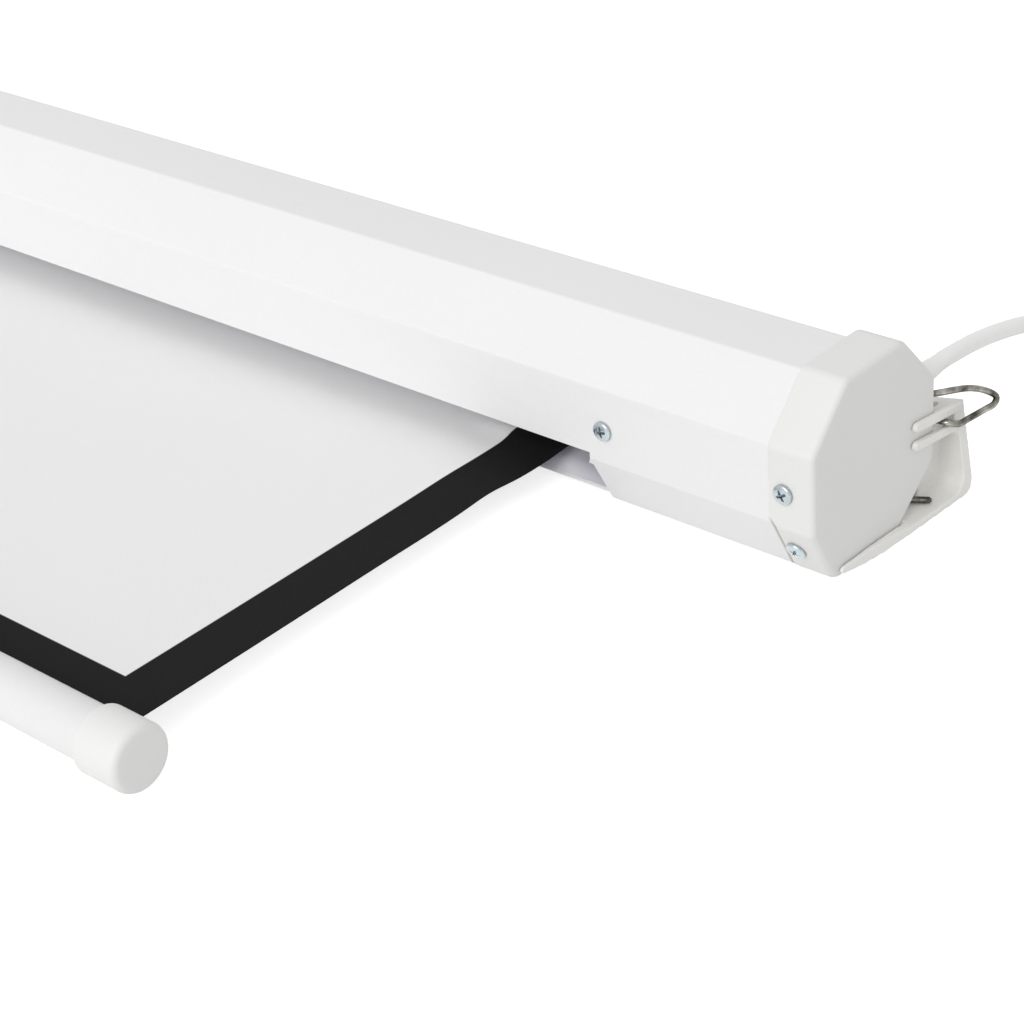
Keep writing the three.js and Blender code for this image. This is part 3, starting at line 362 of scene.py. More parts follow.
def map_range(tree, value, start, end, low=0.0, high=1.0):
    """From low to high as the value goes from start to end, and level beyond them."""
    made = add_node(tree, "ShaderNodeMapRange", {"Value": value}, {
        "From Min": start, "From Max": end, "To Min": low, "To Max": high})
    return made.outputs["Result"]


def noise(tree, where, scale, detail, roughness=0.5):
    """Noise between 0 and 1, whose scale is the number of its clouds to a metre."""
    made = add_node(tree, "ShaderNodeTexNoise", {"Vector": where}, {
        "Scale": scale, "Detail": detail, "Roughness": roughness})
    return made.outputs["Fac"]


# Noise bunches round a half, so a colour and a roughness run from end to end between these values
COLOR_SPAN, ROUGH_SPAN = (0.35, 0.65), (0.3, 0.7)
CLOUD_SCALE = 9.0                 # broad, faint changes of tone, about 110 mm across
# A Mix node's colour sockets, which share their names with its others
MIX_A, MIX_B, MIX_OUT = 6, 7, 2


def ramp_between(tree, factor, dark, light, span=(0.0, 1.0)):
    """From the dark colour to the light one as the factor goes through the span."""
    ramp = add_node(tree, "ShaderNodeValToRGB", {"Fac": factor})
    for element, position, color in zip(ramp.color_ramp.elements, span, (dark, light)):
        element.position, element.color = position, linear(color)
    return ramp.outputs["Color"]


def plain_finish(name, light, dark, size_mm, depth_mm, rough, metallic=0.0, stretch=(1, 1, 1)):
    """A material that is one substance all over. Fine noise of the given size makes its bump and,
    mixed with a broad one, a small change of colour and roughness."""
    made, tree, shader = new_material(name, light, rough[0], metallic)
    where = add_node(tree, "ShaderNodeTexCoord").outputs["Object"]
    scaled = add_node(tree, "ShaderNodeMapping", {"Vector": where}, {"Scale": stretch})
    fine = noise(tree, scaled.outputs["Vector"], 1000 / size_mm, 3.0, 0.55)
    wide = noise(tree, where, CLOUD_SCALE, 2.0)
    mixed = add_node(tree, "ShaderNodeMix", {"A": fine, "B": wide}, {"Factor": 0.5},
                     data_type="FLOAT").outputs[0]
    tree.links.new(ramp_between(tree, mixed, dark, light, COLOR_SPAN), shader.inputs["Base Color"])
    tree.links.new(map_range(tree, mixed, *ROUGH_SPAN, *rough), shader.inputs["Roughness"])
    bump = add_node(tree, "ShaderNodeBump", {"Height": fine},
                    {"Strength": 1.0, "Distance": depth_mm / 1000})
    tree.links.new(bump.outputs["Normal"], shader.inputs["Normal"])
    return made


# Powder-coated sheet: a satin skin with a faint orange peel of about 1.6 mm
coated_sheet = plain_finish("powder_coated_sheet", "#f4f4f4", "#f1f1f1", 1.6, 0.006, (0.42, 0.5))
# The sheet's inner side at the slot: the same coat, thinner, over a lilac-grey primer
primed_sheet = plain_finish("primed_sheet", "#eeedf4", "#e8e7ef", 1.6, 0.006, (0.5, 0.6))
# Enamelled round tube: smoother and a little glossier than powder coat
enamelled_tube = plain_finish("enamelled_tube", "#f1f1f1", "#eeeeee", 2.2, 0.004, (0.36, 0.42))
# Moulded ABS: spark-eroded mould texture, drawn at 0.7 mm so that it shows
moulded_abs = plain_finish("moulded_abs", "#efefed", "#ebebe8", 0.7, 0.012, (0.46, 0.56))
# The bottom bar's caps: the same, in a purer white
bar_cap_abs = plain_finish("bar_cap_abs", "#f4f4f3", "#f0f0ef", 0.7, 0.012, (0.46, 0.56))
# Moulded nylon of the brackets: warmer and smoother
moulded_nylon = plain_finish("moulded_nylon", "#f7f6f3", "#f1f0ec", 1.1, 0.006, (0.36, 0.46))
# Soft PVC cable jacket: extruded smooth, with a faint unevenness
soft_pvc = plain_finish("soft_pvc", "#fefefd", "#fbfbfa", 1.4, 0.01, (0.4, 0.5))
# Bright zinc plate with a blue passivation
zinc_plate = plain_finish("zinc_plate", "#c6d0d4", "#a4aeb3", 0.6, 0.01, (0.22, 0.36), 1.0)
# Nickel-plated spring wire: bright, with dark and light stretches painted in as its changing
# reflections
nickel_wire = plain_finish("nickel_wire", "#c8c5bd", "#46433e", 5.0, 0.01, (0.1, 0.22), 1.0)
# Its cut ends: bare of plating, and painted darker to stand in for the shade on them
bare_steel_and_shade = plain_finish("bare_steel_and_shade", "#6c6a67", "#55534f", 0.5, 0.01, (0.5, 0.6), 1.0)
# The same zinc plate, darker, as painted shade at the bottom of a screw's recess
zinc_recess_shade = plain_finish("zinc_recess_shade", "#8e979b", "#727b80", 0.5, 0.01, (0.4, 0.55), 1.0)
# Pressed steel of the plates
pressed_steel = plain_finish("pressed_steel", "#b7b9ba", "#a3a5a7", 0.9, 0.01, (0.34, 0.46), 1.0)
# Mill-finish aluminium tube, drawn lengthways
mill_aluminium = plain_finish("mill_aluminium", "#cfd1d3", "#c0c2c5", 0.6, 0.006, (0.32, 0.44), 1.0,
                              stretch=(0.04, 1, 1))
# Painted steel tube of the motor
painted_motor = plain_finish("painted_motor", "#a6a8aa", "#9c9ea0", 1.4, 0.006, (0.38, 0.48))
# Dark acetal of the rings, wheel and cable tie
dark_acetal = plain_finish("dark_acetal", "#424246", "#38383b", 0.8, 0.008, (0.4, 0.5))
# Extruded PVC hem rod
extruded_rod = plain_finish("extruded_rod", "#e4e4e0", "#dcdcd8", 1.2, 0.006, (0.4, 0.5))


SEAM_SHADE_FULL, SEAM_SHADE_GONE = 2.3, 3.5   # how far the painted shade line reaches from the cap's stepped edge
SEAM_SHADE_LOW, SEAM_SHADE_HIGH = 5.5, 2.5    # how far under the step's top the painted shade starts to fade and is gone
SLOT_SHADE_LENGTH = 32.0                # how far from the slot's ends the painted shade reaches


def shade(made, color, mask):
    """Painted shade: the colour laid over a material's own, as far as mask(tree, |X|, Z) says,
    in row-frame metres."""
    tree = made.node_tree
    shader = tree.nodes["Principled BSDF"]
    own = shader.inputs["Base Color"].links[0].from_socket
    split = add_node(tree, "ShaderNodeSeparateXYZ", {
        "Vector": add_node(tree, "ShaderNodeTexCoord").outputs["Object"]})
    share = mask(tree, maths(tree, "ABSOLUTE", split.outputs["X"]), split.outputs["Z"])
    mixed = add_node(tree, "ShaderNodeMix", {"Factor": share}, data_type="RGBA")
    mixed.inputs[MIX_B].default_value = linear(color)
    tree.links.new(own, mixed.inputs[MIX_A])
    tree.links.new(mixed.outputs[MIX_OUT], shader.inputs["Base Color"])


def step_seam_shade(tree, across, height):
    """Painted shade in the gap: 1 on the casing beside the end cap's stepped edge, fading to 0 away
    from it and towards the step's top: the edge's |X| runs from the step's depth at its foot to the
    cap's start."""
    foot, top = (STEP_FOOT + SHIFT[2]) / 1000, (STEP_TOP + SHIFT[2]) / 1000
    edge = map_range(tree, height, foot, top, (CAP_START + STEP_DEPTH) / 1000, CAP_START / 1000)
    way = maths(tree, "SUBTRACT", edge, across)
    near = map_range(tree, way, SEAM_SHADE_FULL / 1000, SEAM_SHADE_GONE / 1000, 1.0, 0.0)
    low = map_range(tree, height, top - SEAM_SHADE_LOW / 1000, top - SEAM_SHADE_HIGH / 1000, 1.0, 0.0)
    return maths(tree, "MULTIPLY", near, low)


def slot_end_shade(tree, across, _height):
    """Painted shade of the slot's end walls: from 0 at that length before the slot's end to 1 at it."""
    return map_range(tree, across, (SLOT_HALF - SLOT_SHADE_LENGTH) / 1000, SLOT_HALF / 1000)


# Painted shade: a dark line beside the cap's stepped edge, and the slot's lip darker towards the slot's
# ends
shade(coated_sheet, "#adaaa3", step_seam_shade)
shade(primed_sheet, "#b0aeb9", slot_end_shade)


WEAVE = 0.9                       # spacing of the threads, drawn coarser than real ones to show
COATING_SCALE = 700.0             # the coating's unevenness, about 1.4 mm across
WEAVE_DEPTH = 0.03
PRINT_EDGE = 0.25                 # half the width in which the printed border fades out
CLOTH_CLOUD_SCALE = 7.0


def make_cloth_face():
    """Matt coated cloth: a fine weave under the coating, and a printed black border that follows
    the sheet's own UV map, whose unit is a metre across and along."""
    made, tree, shader = new_material("coated_cloth_face", "#f0f0f0", 0.85, **{
        "Specular IOR Level": 0.22})
    uv = add_node(tree, "ShaderNodeTexCoord").outputs["UV"]
    split = add_node(tree, "ShaderNodeSeparateXYZ", {"Vector": uv})
    side = map_range(tree, maths(tree, "ABSOLUTE", split.outputs["X"]),
                     (PICTURE_HALF - PRINT_EDGE) / 1000, (PICTURE_HALF + PRINT_EDGE) / 1000)
    foot = map_range(tree, split.outputs["Y"],
                     (DRAWN - PRINT_EDGE) / 1000, (DRAWN + PRINT_EDGE) / 1000)
    weave = add_node(tree, "ShaderNodeTexChecker", {"Vector": uv}, {"Scale": 1000 / WEAVE})
    fine = noise(tree, uv, COATING_SCALE, 3.0)
    wide = noise(tree, uv, CLOTH_CLOUD_SCALE, 2.0)
    color = add_node(tree, "ShaderNodeMix", {"Factor": maths(tree, "MAXIMUM", side, foot)},
                     data_type="RGBA")
    tree.links.new(ramp_between(tree, wide, "#f8f8f8", "#fbfbfb"), color.inputs[MIX_A])
    tree.links.new(ramp_between(tree, wide, "#0c0c0c", "#131313"), color.inputs[MIX_B])
    tree.links.new(color.outputs[MIX_OUT], shader.inputs["Base Color"])
    height = maths(tree, "ADD", weave.outputs["Fac"], fine)
    bump = add_node(tree, "ShaderNodeBump", {"Height": height},
                    {"Strength": 0.5, "Distance": WEAVE_DEPTH / 1000})
    tree.links.new(bump.outputs["Normal"], shader.inputs["Normal"])
    return made


cloth_face = make_cloth_face()
# Pale back of the same cloth, which shows on the roll
cloth_back = plain_finish("coated_cloth_back", "#dddde2", "#d5d5da", 0.9, 0.02, (0.75, 0.85))


# Camera: its place in metres and the view's three directions, as fitted to the photo's edges
SENSOR, FOCAL_LENGTH = 36.0, 83.36
EYE = (1.2522, -0.5483, 0.4903)
RIGHT, DOWN, AHEAD = (0.7558, 0.6507, -0.0738), (0.2873, -0.4308, -0.8556), (-0.5885, 0.6254, -0.5125)

camera_data = bpy.data.cameras.new("camera")
camera_data.sensor_width, camera_data.lens = SENSOR, FOCAL_LENGTH
camera_data.clip_start, camera_data.clip_end = 0.05, 30.0
camera = add_object("camera", camera_data)
turn = Matrix([[RIGHT[i], -DOWN[i], -AHEAD[i]] for i in range(3)])
camera.matrix_world = Matrix.Translation(EYE) @ turn.to_4x4()
bpy.context.scene.camera = camera


# Mains lead: its free stretch, as (offset from the cap's face, way behind the strain relief, Z),
# the tail from the coil to the plug, and the coil between them
LEAD_ROUTE = [
    [-10, GAP, 51], [-10, 6.2, 51], [-10.8, 17.2, 49.4], [-12.2, 32.2, 46.6], [-12.8, 46.2, 43.7],
    [-12.8, 60.2, 40.5], [-12.4, 73.2, 37.1], [-11.6, 87.2, 32.2], [-10.8, 101.2, 25.8],
    [-10.2, 115.2, 18.6], [-9.8, 129.2, 11.6], [-9.6, 141.2, 6.8], [-9.5, 153.2, 3.7],
    [-9.5, 165.2, 2.5], [-9.5, 177.2, 2.3], [-9.5, 189.2, 2.3],
]
TAIL_ROUTE = [
    [0, 0, 0], [0, -9, 0.2], [0.3, -20, 1.2], [0.8, -32, 3.2], [1, -44, 6], [1, -54, 7.9],
    [1, -62, 8.2],
]
TURN_GAP, LAYER_TURNS, CLIMB_TURNS = 0.5, 3, 0.5
COIL_MIDDLE = 78.0                # across the middle of a layer
TURN_PITCH = LEAD + TURN_GAP
COIL_OUTER = (COIL_MIDDLE + TURN_PITCH * LAYER_TURNS) / 2
COIL_TURNS = 2 * LAYER_TURNS + CLIMB_TURNS
INNERMOST = LAYER_TURNS + CLIMB_TURNS / 2
COIL_CENTRE = np.array([HALF + LEAD_ROUTE[-1][0] + COIL_OUTER,
                        RELIEF_END + LEAD_ROUTE[-1][1] + GAP + LEAD, SURFACE + LEAD / 2])


def coil_line(steps_per_turn=48):
    """Flat spiral in on the surface, half a turn up, and out again on top:
    radius(t) = outer - pitch (min(t, middle) - max(t - middle, 0)), angle = 2 pi t."""
    t = np.linspace(0, COIL_TURNS, int(COIL_TURNS * steps_per_turn) + 1)
    radius = COIL_OUTER - TURN_PITCH * (np.minimum(t, INNERMOST) - np.maximum(t - INNERMOST, 0))
    climb = np.clip((t - LAYER_TURNS) / CLIMB_TURNS, 0, 1)
    angle = 2 * math.pi * t
    return COIL_CENTRE + np.stack(
        [-radius * np.cos(angle), radius * np.sin(angle), climb * TURN_PITCH], axis=1)


def lead_line():
    """The whole lead on one line, from the strain relief to the plug."""
    free = np.array(LEAD_ROUTE, float) + [HALF, RELIEF_END, 0]
    free[:, 2] = np.maximum(free[:, 2], SURFACE + LEAD / 2)
    turns = coil_line()
    out = turns[-1] + [0, -LEAD, 0]
    tail = np.array(TAIL_ROUTE, float) + out
    return np.vstack([smooth_route(free)[:-1], turns[0] + [[0, -LEAD, 0]], turns,
                      smooth_route(tail)])


lead_path = even_steps(lead_line(), LEAD_STEP)
lead = dress(from_grid("mains_lead", tube(lead_path, LEAD / 2, LEAD_SIDES), sharp=60), soft_pvc,
             stands_for=("power_cable", "cable_coil", "cable_tail"))

# The plug: its profile as (radius, height) rows from the lead's end to its face
PLUG_PROFILE = [
    [0.0, 0.0], [4.6, 0.0], [5.4, 0.8], [7.2, 7.0], [8.6, 13.0], [9.0, 16.5], [9.4, 21.0],
    [10.6, 26.0], [13.2, 29.5], [16.6, 32.0], [18.1, 33.6], [18.5, 35.4], [18.5, 44.5],
    [18.1, 46.6], [17.0, 47.7], [15.6, 48.0], [0.0, 48.0],
]
PLUG_HIGH, PLUG_FLAT, FLAT_HIGH = 48.0, 16.9, 11.0
RIB_FROM, RIB_TO, RIB_INNER, RIB_DEPTH, RIB_PITCH = 3.0, 24.0, 4.0, 0.35, 3.5
PLUG_START = lead_path[-1] + [0, -2 * GAP, 0]
PIN_RADIUS, PIN_ROOT, PIN_SIDE = 2.4, 6.0, 9.5
PIN_TIP, PIN_LENGTH, PIN_STRAIGHT = 1.5, 19.0, 16.8


def make_plug():
    """Two-pin plug: a grip that narrows to a waist and swells to the face, with moulded ribs:
    radius = profile(height) - depth (1 - cos(2 pi height / pitch)) along the grip, and two flats
    at its sides."""
    stations = np.array(PLUG_PROFILE)
    far = np.concatenate([[0], np.cumsum(np.linalg.norm(np.diff(stations, axis=0), axis=1))])
    at = np.linspace(0, far[-1], 150)
    profile = np.stack([np.interp(at, far, stations[:, k]) for k in range(2)], 1)
    radius, height = profile.T
    ribbed = (height > RIB_FROM) & (height < RIB_TO) & (radius > RIB_INNER)
    wave = RIB_DEPTH * (1 - np.cos(2 * math.pi * height / RIB_PITCH))
    profile[:, 0] -= np.where(ribbed, wave, 0)
    grid = turned(profile, PLUG_START, [0, -1, 0], 72)
    side = grid[..., 0] - PLUG_START[0]
    near_face = (PLUG_START[1] - grid[..., 1]) > PLUG_HIGH - FLAT_HIGH
    flat = np.clip(side, -PLUG_FLAT, PLUG_FLAT)
    grid[..., 0] = PLUG_START[0] + np.where(near_face, flat, side)
    return from_grid("plug_shell", grid, ends=False)


def make_pin(name, side):
    """A round pin with a blunt bullet end, whose edge is a quarter circle."""
    tip = arc((PIN_RADIUS - PIN_TIP, PIN_LENGTH - PIN_TIP), PIN_TIP, 0, 90, 6)
    profile = np.vstack([[[0, -PIN_ROOT], [PIN_RADIUS, -PIN_ROOT], [PIN_RADIUS, PIN_STRAIGHT]],
                         tip, [[0, PIN_LENGTH]]])
    at = PLUG_START + [side * PIN_SIDE, -PLUG_HIGH, 0]
    return from_grid(name, turned(profile, at, [0, -1, 0], 32), ends=False)


plug = dress(make_plug(), soft_pvc, stands_for=("plug_body",))
pins = [dress(make_pin(name, side), nickel_wire, stands_for=(node,))
        for name, side, node in (("plug_prong_a", -1, "plug_pin_1"), ("plug_prong_b", 1, "plug_pin_2"))]

RELIEF_RADIUS, RELIEF_TAPER, RELIEF_IN = 4.4, 0.65, 8.0
COLLAR, COLLAR_EDGE, TAPER_FROM = 5.3, 0.6, 1.5
TIP_EDGE, TIP_PAST = 0.1, 0.15


def make_relief():
    """Moulded strain relief: a barrel through the casing and the cap, a thin collar on the cap's
    back, and a smooth taper that closes on the lead: its radius falls with run^1.5."""
    seat = CAP_BACK - DEPTH + GAP
    end = RELIEF_END - DEPTH + TIP_PAST
    run = np.linspace(0, 1, 40)
    taper = np.stack([RELIEF_RADIUS - RELIEF_TAPER * run ** 1.5,
                      seat + TAPER_FROM + (end - seat - TAPER_FROM) * run], 1)
    barrel = [[0, -RELIEF_IN], [RELIEF_RADIUS, -RELIEF_IN], [RELIEF_RADIUS, seat], [COLLAR, seat]]
    profile = np.vstack([
        barrel, arc((COLLAR - COLLAR_EDGE, seat + COLLAR_EDGE), COLLAR_EDGE, 0, 90, 5), taper,
        arc((RELIEF_RADIUS - RELIEF_TAPER - TIP_EDGE, end), TIP_EDGE, 0, 90, 3),
        [[0, end + TIP_EDGE]]])
    return from_grid("lead_gland", turned(profile, [EXIT_X, DEPTH, EXIT_Z], [0, 1, 0], 48),
                     ends=False, sharp=50)


dress(make_relief(), soft_pvc, stands_for=("strain_relief",))


# Cloth: where the sheet leaves the roll, and where its hem ends inside the bar
SHEET_FROM, SHEET_TO = ROLLER_Y, HEM_END_Y - HEM_IN
RIPPLE_FROM = 640.0               # how far out the free edges' ripples begin
SAG = 0.5
# Each ripple: its height, the middle of it in Y, and its width
EDGE_RIPPLES = ((-2.1, 4.0, 32.0), (1.0, -27.0, 13.0), (-0.35, -62.0, 22.0))
RISE, RISE_X, RISE_WIDE, RISE_Y, RISE_LONG = 2.2, 661.0, 13.0, 17.0, 6.0


def bell(value, middle, width):
    """Bell curve of height 1: e to the power of minus the square of the way over the width."""
    return np.exp(-((value - middle) / width) ** 2)


def sheet_height(x, y):
    """Height of the cloth's middle: level inside the casing, then a line to the bar that sags by
    half a sine. Its two free edges ripple: bell curves along the cloth, down in the slot, up before
    it and a little down after that, times the square of the way out to the edge. Under the roll
    the cloth rises beside them, by a bell curve each way."""
    level = np.interp(-y, [-ROLLER_Y, 0, -HEM_END_Y], [CLOTH_Z, CLOTH_Z, BAR_Z])
    sag = SAG * np.sin(math.pi * np.clip(y / HEM_END_Y, 0, 1))
    way = np.clip((np.abs(x) - RIPPLE_FROM) / (CLOTH_HALF - RIPPLE_FROM), 0, 1)
    ripple = sum(high * bell(y, middle, width) for high, middle, width in EDGE_RIPPLES)
    rise = RISE * bell(y, RISE_Y, RISE_LONG) * bell(np.abs(x), RISE_X, RISE_WIDE)
    return level - sag + ripple * way ** 2 + rise


def make_sheet():
    """Flat sheet with two faces: point(u, v) = (u, v, height(v) +- half its thickness). Its hem's
    two corners are cut back so that the sheet goes in between the bar's end caps."""
    y = np.concatenate([np.linspace(SHEET_FROM, -DRAWN, 80), np.linspace(-DRAWN, SHEET_TO, 9)[1:]])
    x = np.linspace(-1, 1, 345)
    hem_half = BAR_FACE - BAR_CAP_LENGTH - 2 * GAP
    wide = np.where(y > BAR_Y + BAR_CAP_RADIUS + 2 * GAP, CLOTH_HALF, hem_half)
    across, along = x[None] * wide[:, None], np.broadcast_to(y[:, None], (len(y), len(x)))
    z = sheet_height(across, along)
    half = CLOTH_THICK / 2
    top = np.stack([across, along, z + half], -1)
    bottom = np.stack([across, along, z - half], -1)
    obj = band("screen_cloth", np.concatenate([top, bottom[:, ::-1]], axis=1))
    mesh = obj.data
    co = np.empty(len(mesh.vertices) * 3)
    mesh.vertices.foreach_get("co", co)
    co = co.reshape(-1, 3) - SHIFT / 1000
    corner = np.empty(len(mesh.loops), int)
    mesh.loops.foreach_get("vertex_index", corner)
    uv = np.stack([co[:, 0], -co[:, 1]], 1)[corner]
    mesh.uv_layers.new(name="cloth").data.foreach_set("uv", uv.ravel())
    mesh.materials.append(cloth_face)
    refinish(mesh, cloth_back, face_values(mesh, "normal")[:, 2] < -0.5)
    return obj


sheet = make_sheet()
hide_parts("screen_fabric")
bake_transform(sheet)

ROLL_PITCH = CLOTH_THICK + 0.02   # from turn to turn of the wound cloth


def make_roll():
    """Cloth wound on the roller: a spiral r(a) = inner + pitch a / 2 pi, as a band with two faces,
    swept from edge to edge of the cloth."""
    half = CLOTH_THICK / 2
    inner = ROLLER_OUT + GAP + half
    turns = (ROLL_RADIUS - half - inner) / ROLL_PITCH
    t = np.linspace(0, turns, int(turns * 64))
    radius = inner + ROLL_PITCH * t
    angle = 2 * math.pi * (t - turns) - math.pi / 2
    line = [np.stack([ROLLER_Y + (radius + side * half) * np.cos(angle),
                      ROLLER_Z + (radius + side * half) * np.sin(angle)], 1) for side in (1, -1)]
    outline = np.vstack([line[0], line[1][::-1]])
    return band("wound_cloth", loft([outline, outline], [-CLOTH_HALF, CLOTH_HALF]))


dress(make_roll(), cloth_back, "roller", ("fabric_roll",))


# Casing
def make_casing():
    """Bent sheet: the rounded section and the same one a wall inside it, swept along X."""
    outer = rounded_outline(SECTION, BEND)
    inner = rounded_outline(offset_outline(SECTION, -WALL), BEND - WALL)
    ends = np.array([-CASING_END, CASING_END])
    grid = np.concatenate([loft([outer, outer], ends), loft([inner, inner], ends[::-1])])
    return from_grid("casing_shell", grid, close_rows=True, sharp=20)


def slot_cutter():
    """Prism under the front facet, with a nib left at each end."""
    half = np.array([[SLOT_HALF, -OVERRUN], [SLOT_HALF, NIB_Z], [SLOT_HALF - NIB_LENGTH, NIB_Z],
                     [SLOT_HALF, CREASE_Z], [SLOT_HALF, SLOT_TOP]])
    return cutter_back("slot_cutter", np.vstack([half, half[::-1] * [-1, 1]]), -OVERRUN, SLOT_BACK)


casing = make_casing()
carve(casing, slot_cutter(), sharp=20)
dress(casing, coated_sheet, stands_for=("casing",))

STRIP_HALF = SLOT_HALF - 0.1      # short of the slot's ends, so that no two faces lie in one plane


def quarter(depth, height):
    """Quarter ellipse from the lip's foot up to its level part."""
    turn = np.radians(np.linspace(0, 90, 13))
    return np.stack([SLOT_BACK + LIP_DEPTH - depth * np.cos(turn), height * np.sin(turn)], 1)


def make_strip(name, outline, finish):
    """One of the slot's turned edges: a bar of one (Y, Z) outline along the whole slot."""
    piece = from_grid(name, loft([outline, outline], [-STRIP_HALF, STRIP_HALF]), sharp=30)
    dress(piece, finish)


# The floor's edge is rolled inwards so that the cloth runs over it freely
flange_y, flange_z = SLOT_BACK + LIP_REACH, LIP_HEIGHT + LIP_RISE
make_strip("slot_hem", np.vstack([
    quarter(LIP_DEPTH, LIP_HEIGHT), [[flange_y, flange_z], [flange_y, flange_z - WALL]],
    quarter(LIP_DEPTH - WALL, LIP_HEIGHT - WALL)[::-1]]), primed_sheet)
# The front facet's edge is turned back behind it
make_strip("slot_return", np.vstack([
    arc((RETURN_EDGE, SLOT_TOP + RETURN_EDGE), RETURN_EDGE, 180, 270, 4),
    [[RETURN_DEPTH, SLOT_TOP], [RETURN_DEPTH, SLOT_TOP + RETURN_WALL],
     [RETURN_ROOT, SLOT_TOP + WALL]]]), coated_sheet)


# End caps: they follow the casing's front and go further back
cap_section = offset_outline(SECTION, CAP_OUT)
cap_section[1:5] = [[CAP_BACK - HEEL_RUN, -CAP_OUT], [CAP_BACK, HEEL_RISE - CAP_OUT],
                    [CAP_BACK, CAP_TOP - CROWN_DROP], [CAP_BACK - CROWN_RUN, CAP_TOP]]
cap_radii = np.array([CAP_FOOT, *[CAP_CORNER] * 3, CAP_CROWN, *[CAP_CORNER] * 3])


def cap_ring(inset):
    """The cap's rounded outline moved inwards; its corner radii shrink by as much."""
    return rounded_outline(offset_outline(cap_section, -inset), np.maximum(cap_radii - inset, 0.5))


FACE_SHARES = [0.7, 0.35, 0.0]    # the rings between a face's edge and its middle


def make_cap():
    """A shell from the middle of its inner face over the skirt's edge to the middle of its outer
    face. The skirt's rim and the outer edge are quarter circles of (inset, X)."""
    middle = cap_section.mean(axis=0)
    bore = CAP_OUT - GAP
    rows = np.vstack([
        [[bore, HALF - CAP_FACE], [bore, CAP_START]],
        arc((CAP_RIM, CAP_START + CAP_RIM), CAP_RIM, 270, 180, 5),
        arc((CAP_EDGE, HALF - CAP_EDGE), CAP_EDGE, 180, 90, 8)])
    rings = [cap_ring(inset) for inset in rows[:, 0]]
    inner = [middle + (rings[0] - middle) * share for share in FACE_SHARES[::-1]]
    outer = [middle + (rings[-1] - middle) * share for share in FACE_SHARES]
    return loft(inner + rings + outer, np.pad(rows[:, 1], len(FACE_SHARES), mode="edge"))


def notch_cutter(side):
    """Block that opens the skirt's edge at the casing's lowest front corner."""
    front, back = NOTCH_Y
    outline = [[front, -OVERRUN], [back, -OVERRUN], [back, NOTCH_TOP], [front, NOTCH_TOP]]
    return from_grid("notch_cutter", loft([outline, outline], [
        side * (CAP_START - OVERRUN), side * (CAP_START + NOTCH_DEPTH)]))


def step_cutter(side):
    """Prism that takes the skirt's edge back over the lower chamfer, ending in a slant above it."""
    near, far = CAP_START - OVERRUN, CAP_START + STEP_DEPTH
    outline = np.array([[near, -OVERRUN], [far, -OVERRUN], [far, STEP_FOOT], [CAP_START, STEP_TOP],
                        [near, STEP_TOP]]) * [side, 1]
    return cutter_back("step_cutter", outline, -OVERRUN, CREASE_Y)


cap_grid = make_cap()
for end, side in ENDS:
    cap = from_grid(f"moulded_cap_{end}", cap_grid * [side, 1, 1], ends=False, sharp=30)
    carve(cap, notch_cutter(side), step_cutter(side), sharp=30)
    dress(cap, moulded_abs, stands_for=(f"end_cap_{end}",))


# Screws
HEAD, HEAD_TALL, RIM_SHARE = 4.1, 1.9, 0.4
SHANK, SHANK_LENGTH = 1.7, 8.0
# The cross recess: how far out it goes, half a bar's width and what it loses per millimetre, its
# depth and what that loses, and over how much it fades out at the bars' sides and ends
CROSS_REACH, CROSS_HALF, CROSS_NARROWS = 2.45, 0.62, 0.08
CROSS_DEPTH, CROSS_RISES = 1.35, 0.3
CROSS_SIDE, CROSS_END = 0.15, 0.3
CROSS_GRID = 2.9                  # the finer middle part of the head's grid
RECESS_SHADE_FROM = 0.25                  # how far under the dome the recess's painted shade starts


def dome(radius):
    """Height of a screw's head over its seat: gap + tall (rim + (1 - rim) sqrt(1 - (r/R)^2))."""
    round_part = np.sqrt(np.clip(1 - (radius / HEAD) ** 2, 0, 1))
    return GAP + HEAD_TALL * (RIM_SHARE + (1 - RIM_SHARE) * round_part)


def screw_grid(at, out, turned_by):
    """Pan-head screw with a cross recess. The head is a height over a polar grid: the dome less
    the recess, which is deep inside two crossed bars that narrow and rise outwards."""
    sides = 72
    radius = np.concatenate([
        np.linspace(0, CROSS_GRID, 22), np.linspace(CROSS_GRID, HEAD, 9)[1:]])
    angle = np.linspace(0, 2 * math.pi, sides, endpoint=False)
    r, a = np.meshgrid(radius, angle, indexing="ij")
    x, y = r * np.cos(a - turned_by), r * np.sin(a - turned_by)
    near, far = np.minimum(abs(x), abs(y)), np.maximum(abs(x), abs(y))
    inside = np.clip((CROSS_HALF - CROSS_NARROWS * far - near) / CROSS_SIDE, 0, 1)
    inside *= np.clip((CROSS_REACH - far) / CROSS_END, 0, 1)
    height = dome(r) - inside * (CROSS_DEPTH - CROSS_RISES * far)
    below = np.array([[HEAD, GAP], [SHANK, GAP], [SHANK, -SHANK_LENGTH], [0, -SHANK_LENGTH]])
    radii = np.vstack([r, np.repeat(below[:, :1], sides, 1)])[..., None]
    heights = np.vstack([height, np.repeat(below[:, 1:], sides, 1)])[..., None]
    angles = np.vstack([a, np.repeat(angle[None], len(below), 0)])[..., None]
    u = np.array([1.0, 0.0, 0.0])
    return at + heights * out + radii * (u * np.cos(angles) + np.cross(out, u) * np.sin(angles))


def paint_recess_shade(screw, at, out):
    """The painted shade of the recess on each face that lies well under the head's dome."""
    way = face_values(screw.data, "center") * 1000 - SHIFT - at
    height = way @ out
    radius = np.linalg.norm(way - height[:, None] * out, axis=1)
    on_head = (height > GAP - 0.1) & (radius < CROSS_GRID)
    refinish(screw.data, zinc_recess_shade, on_head & (height < dome(radius) - RECESS_SHADE_FROM))


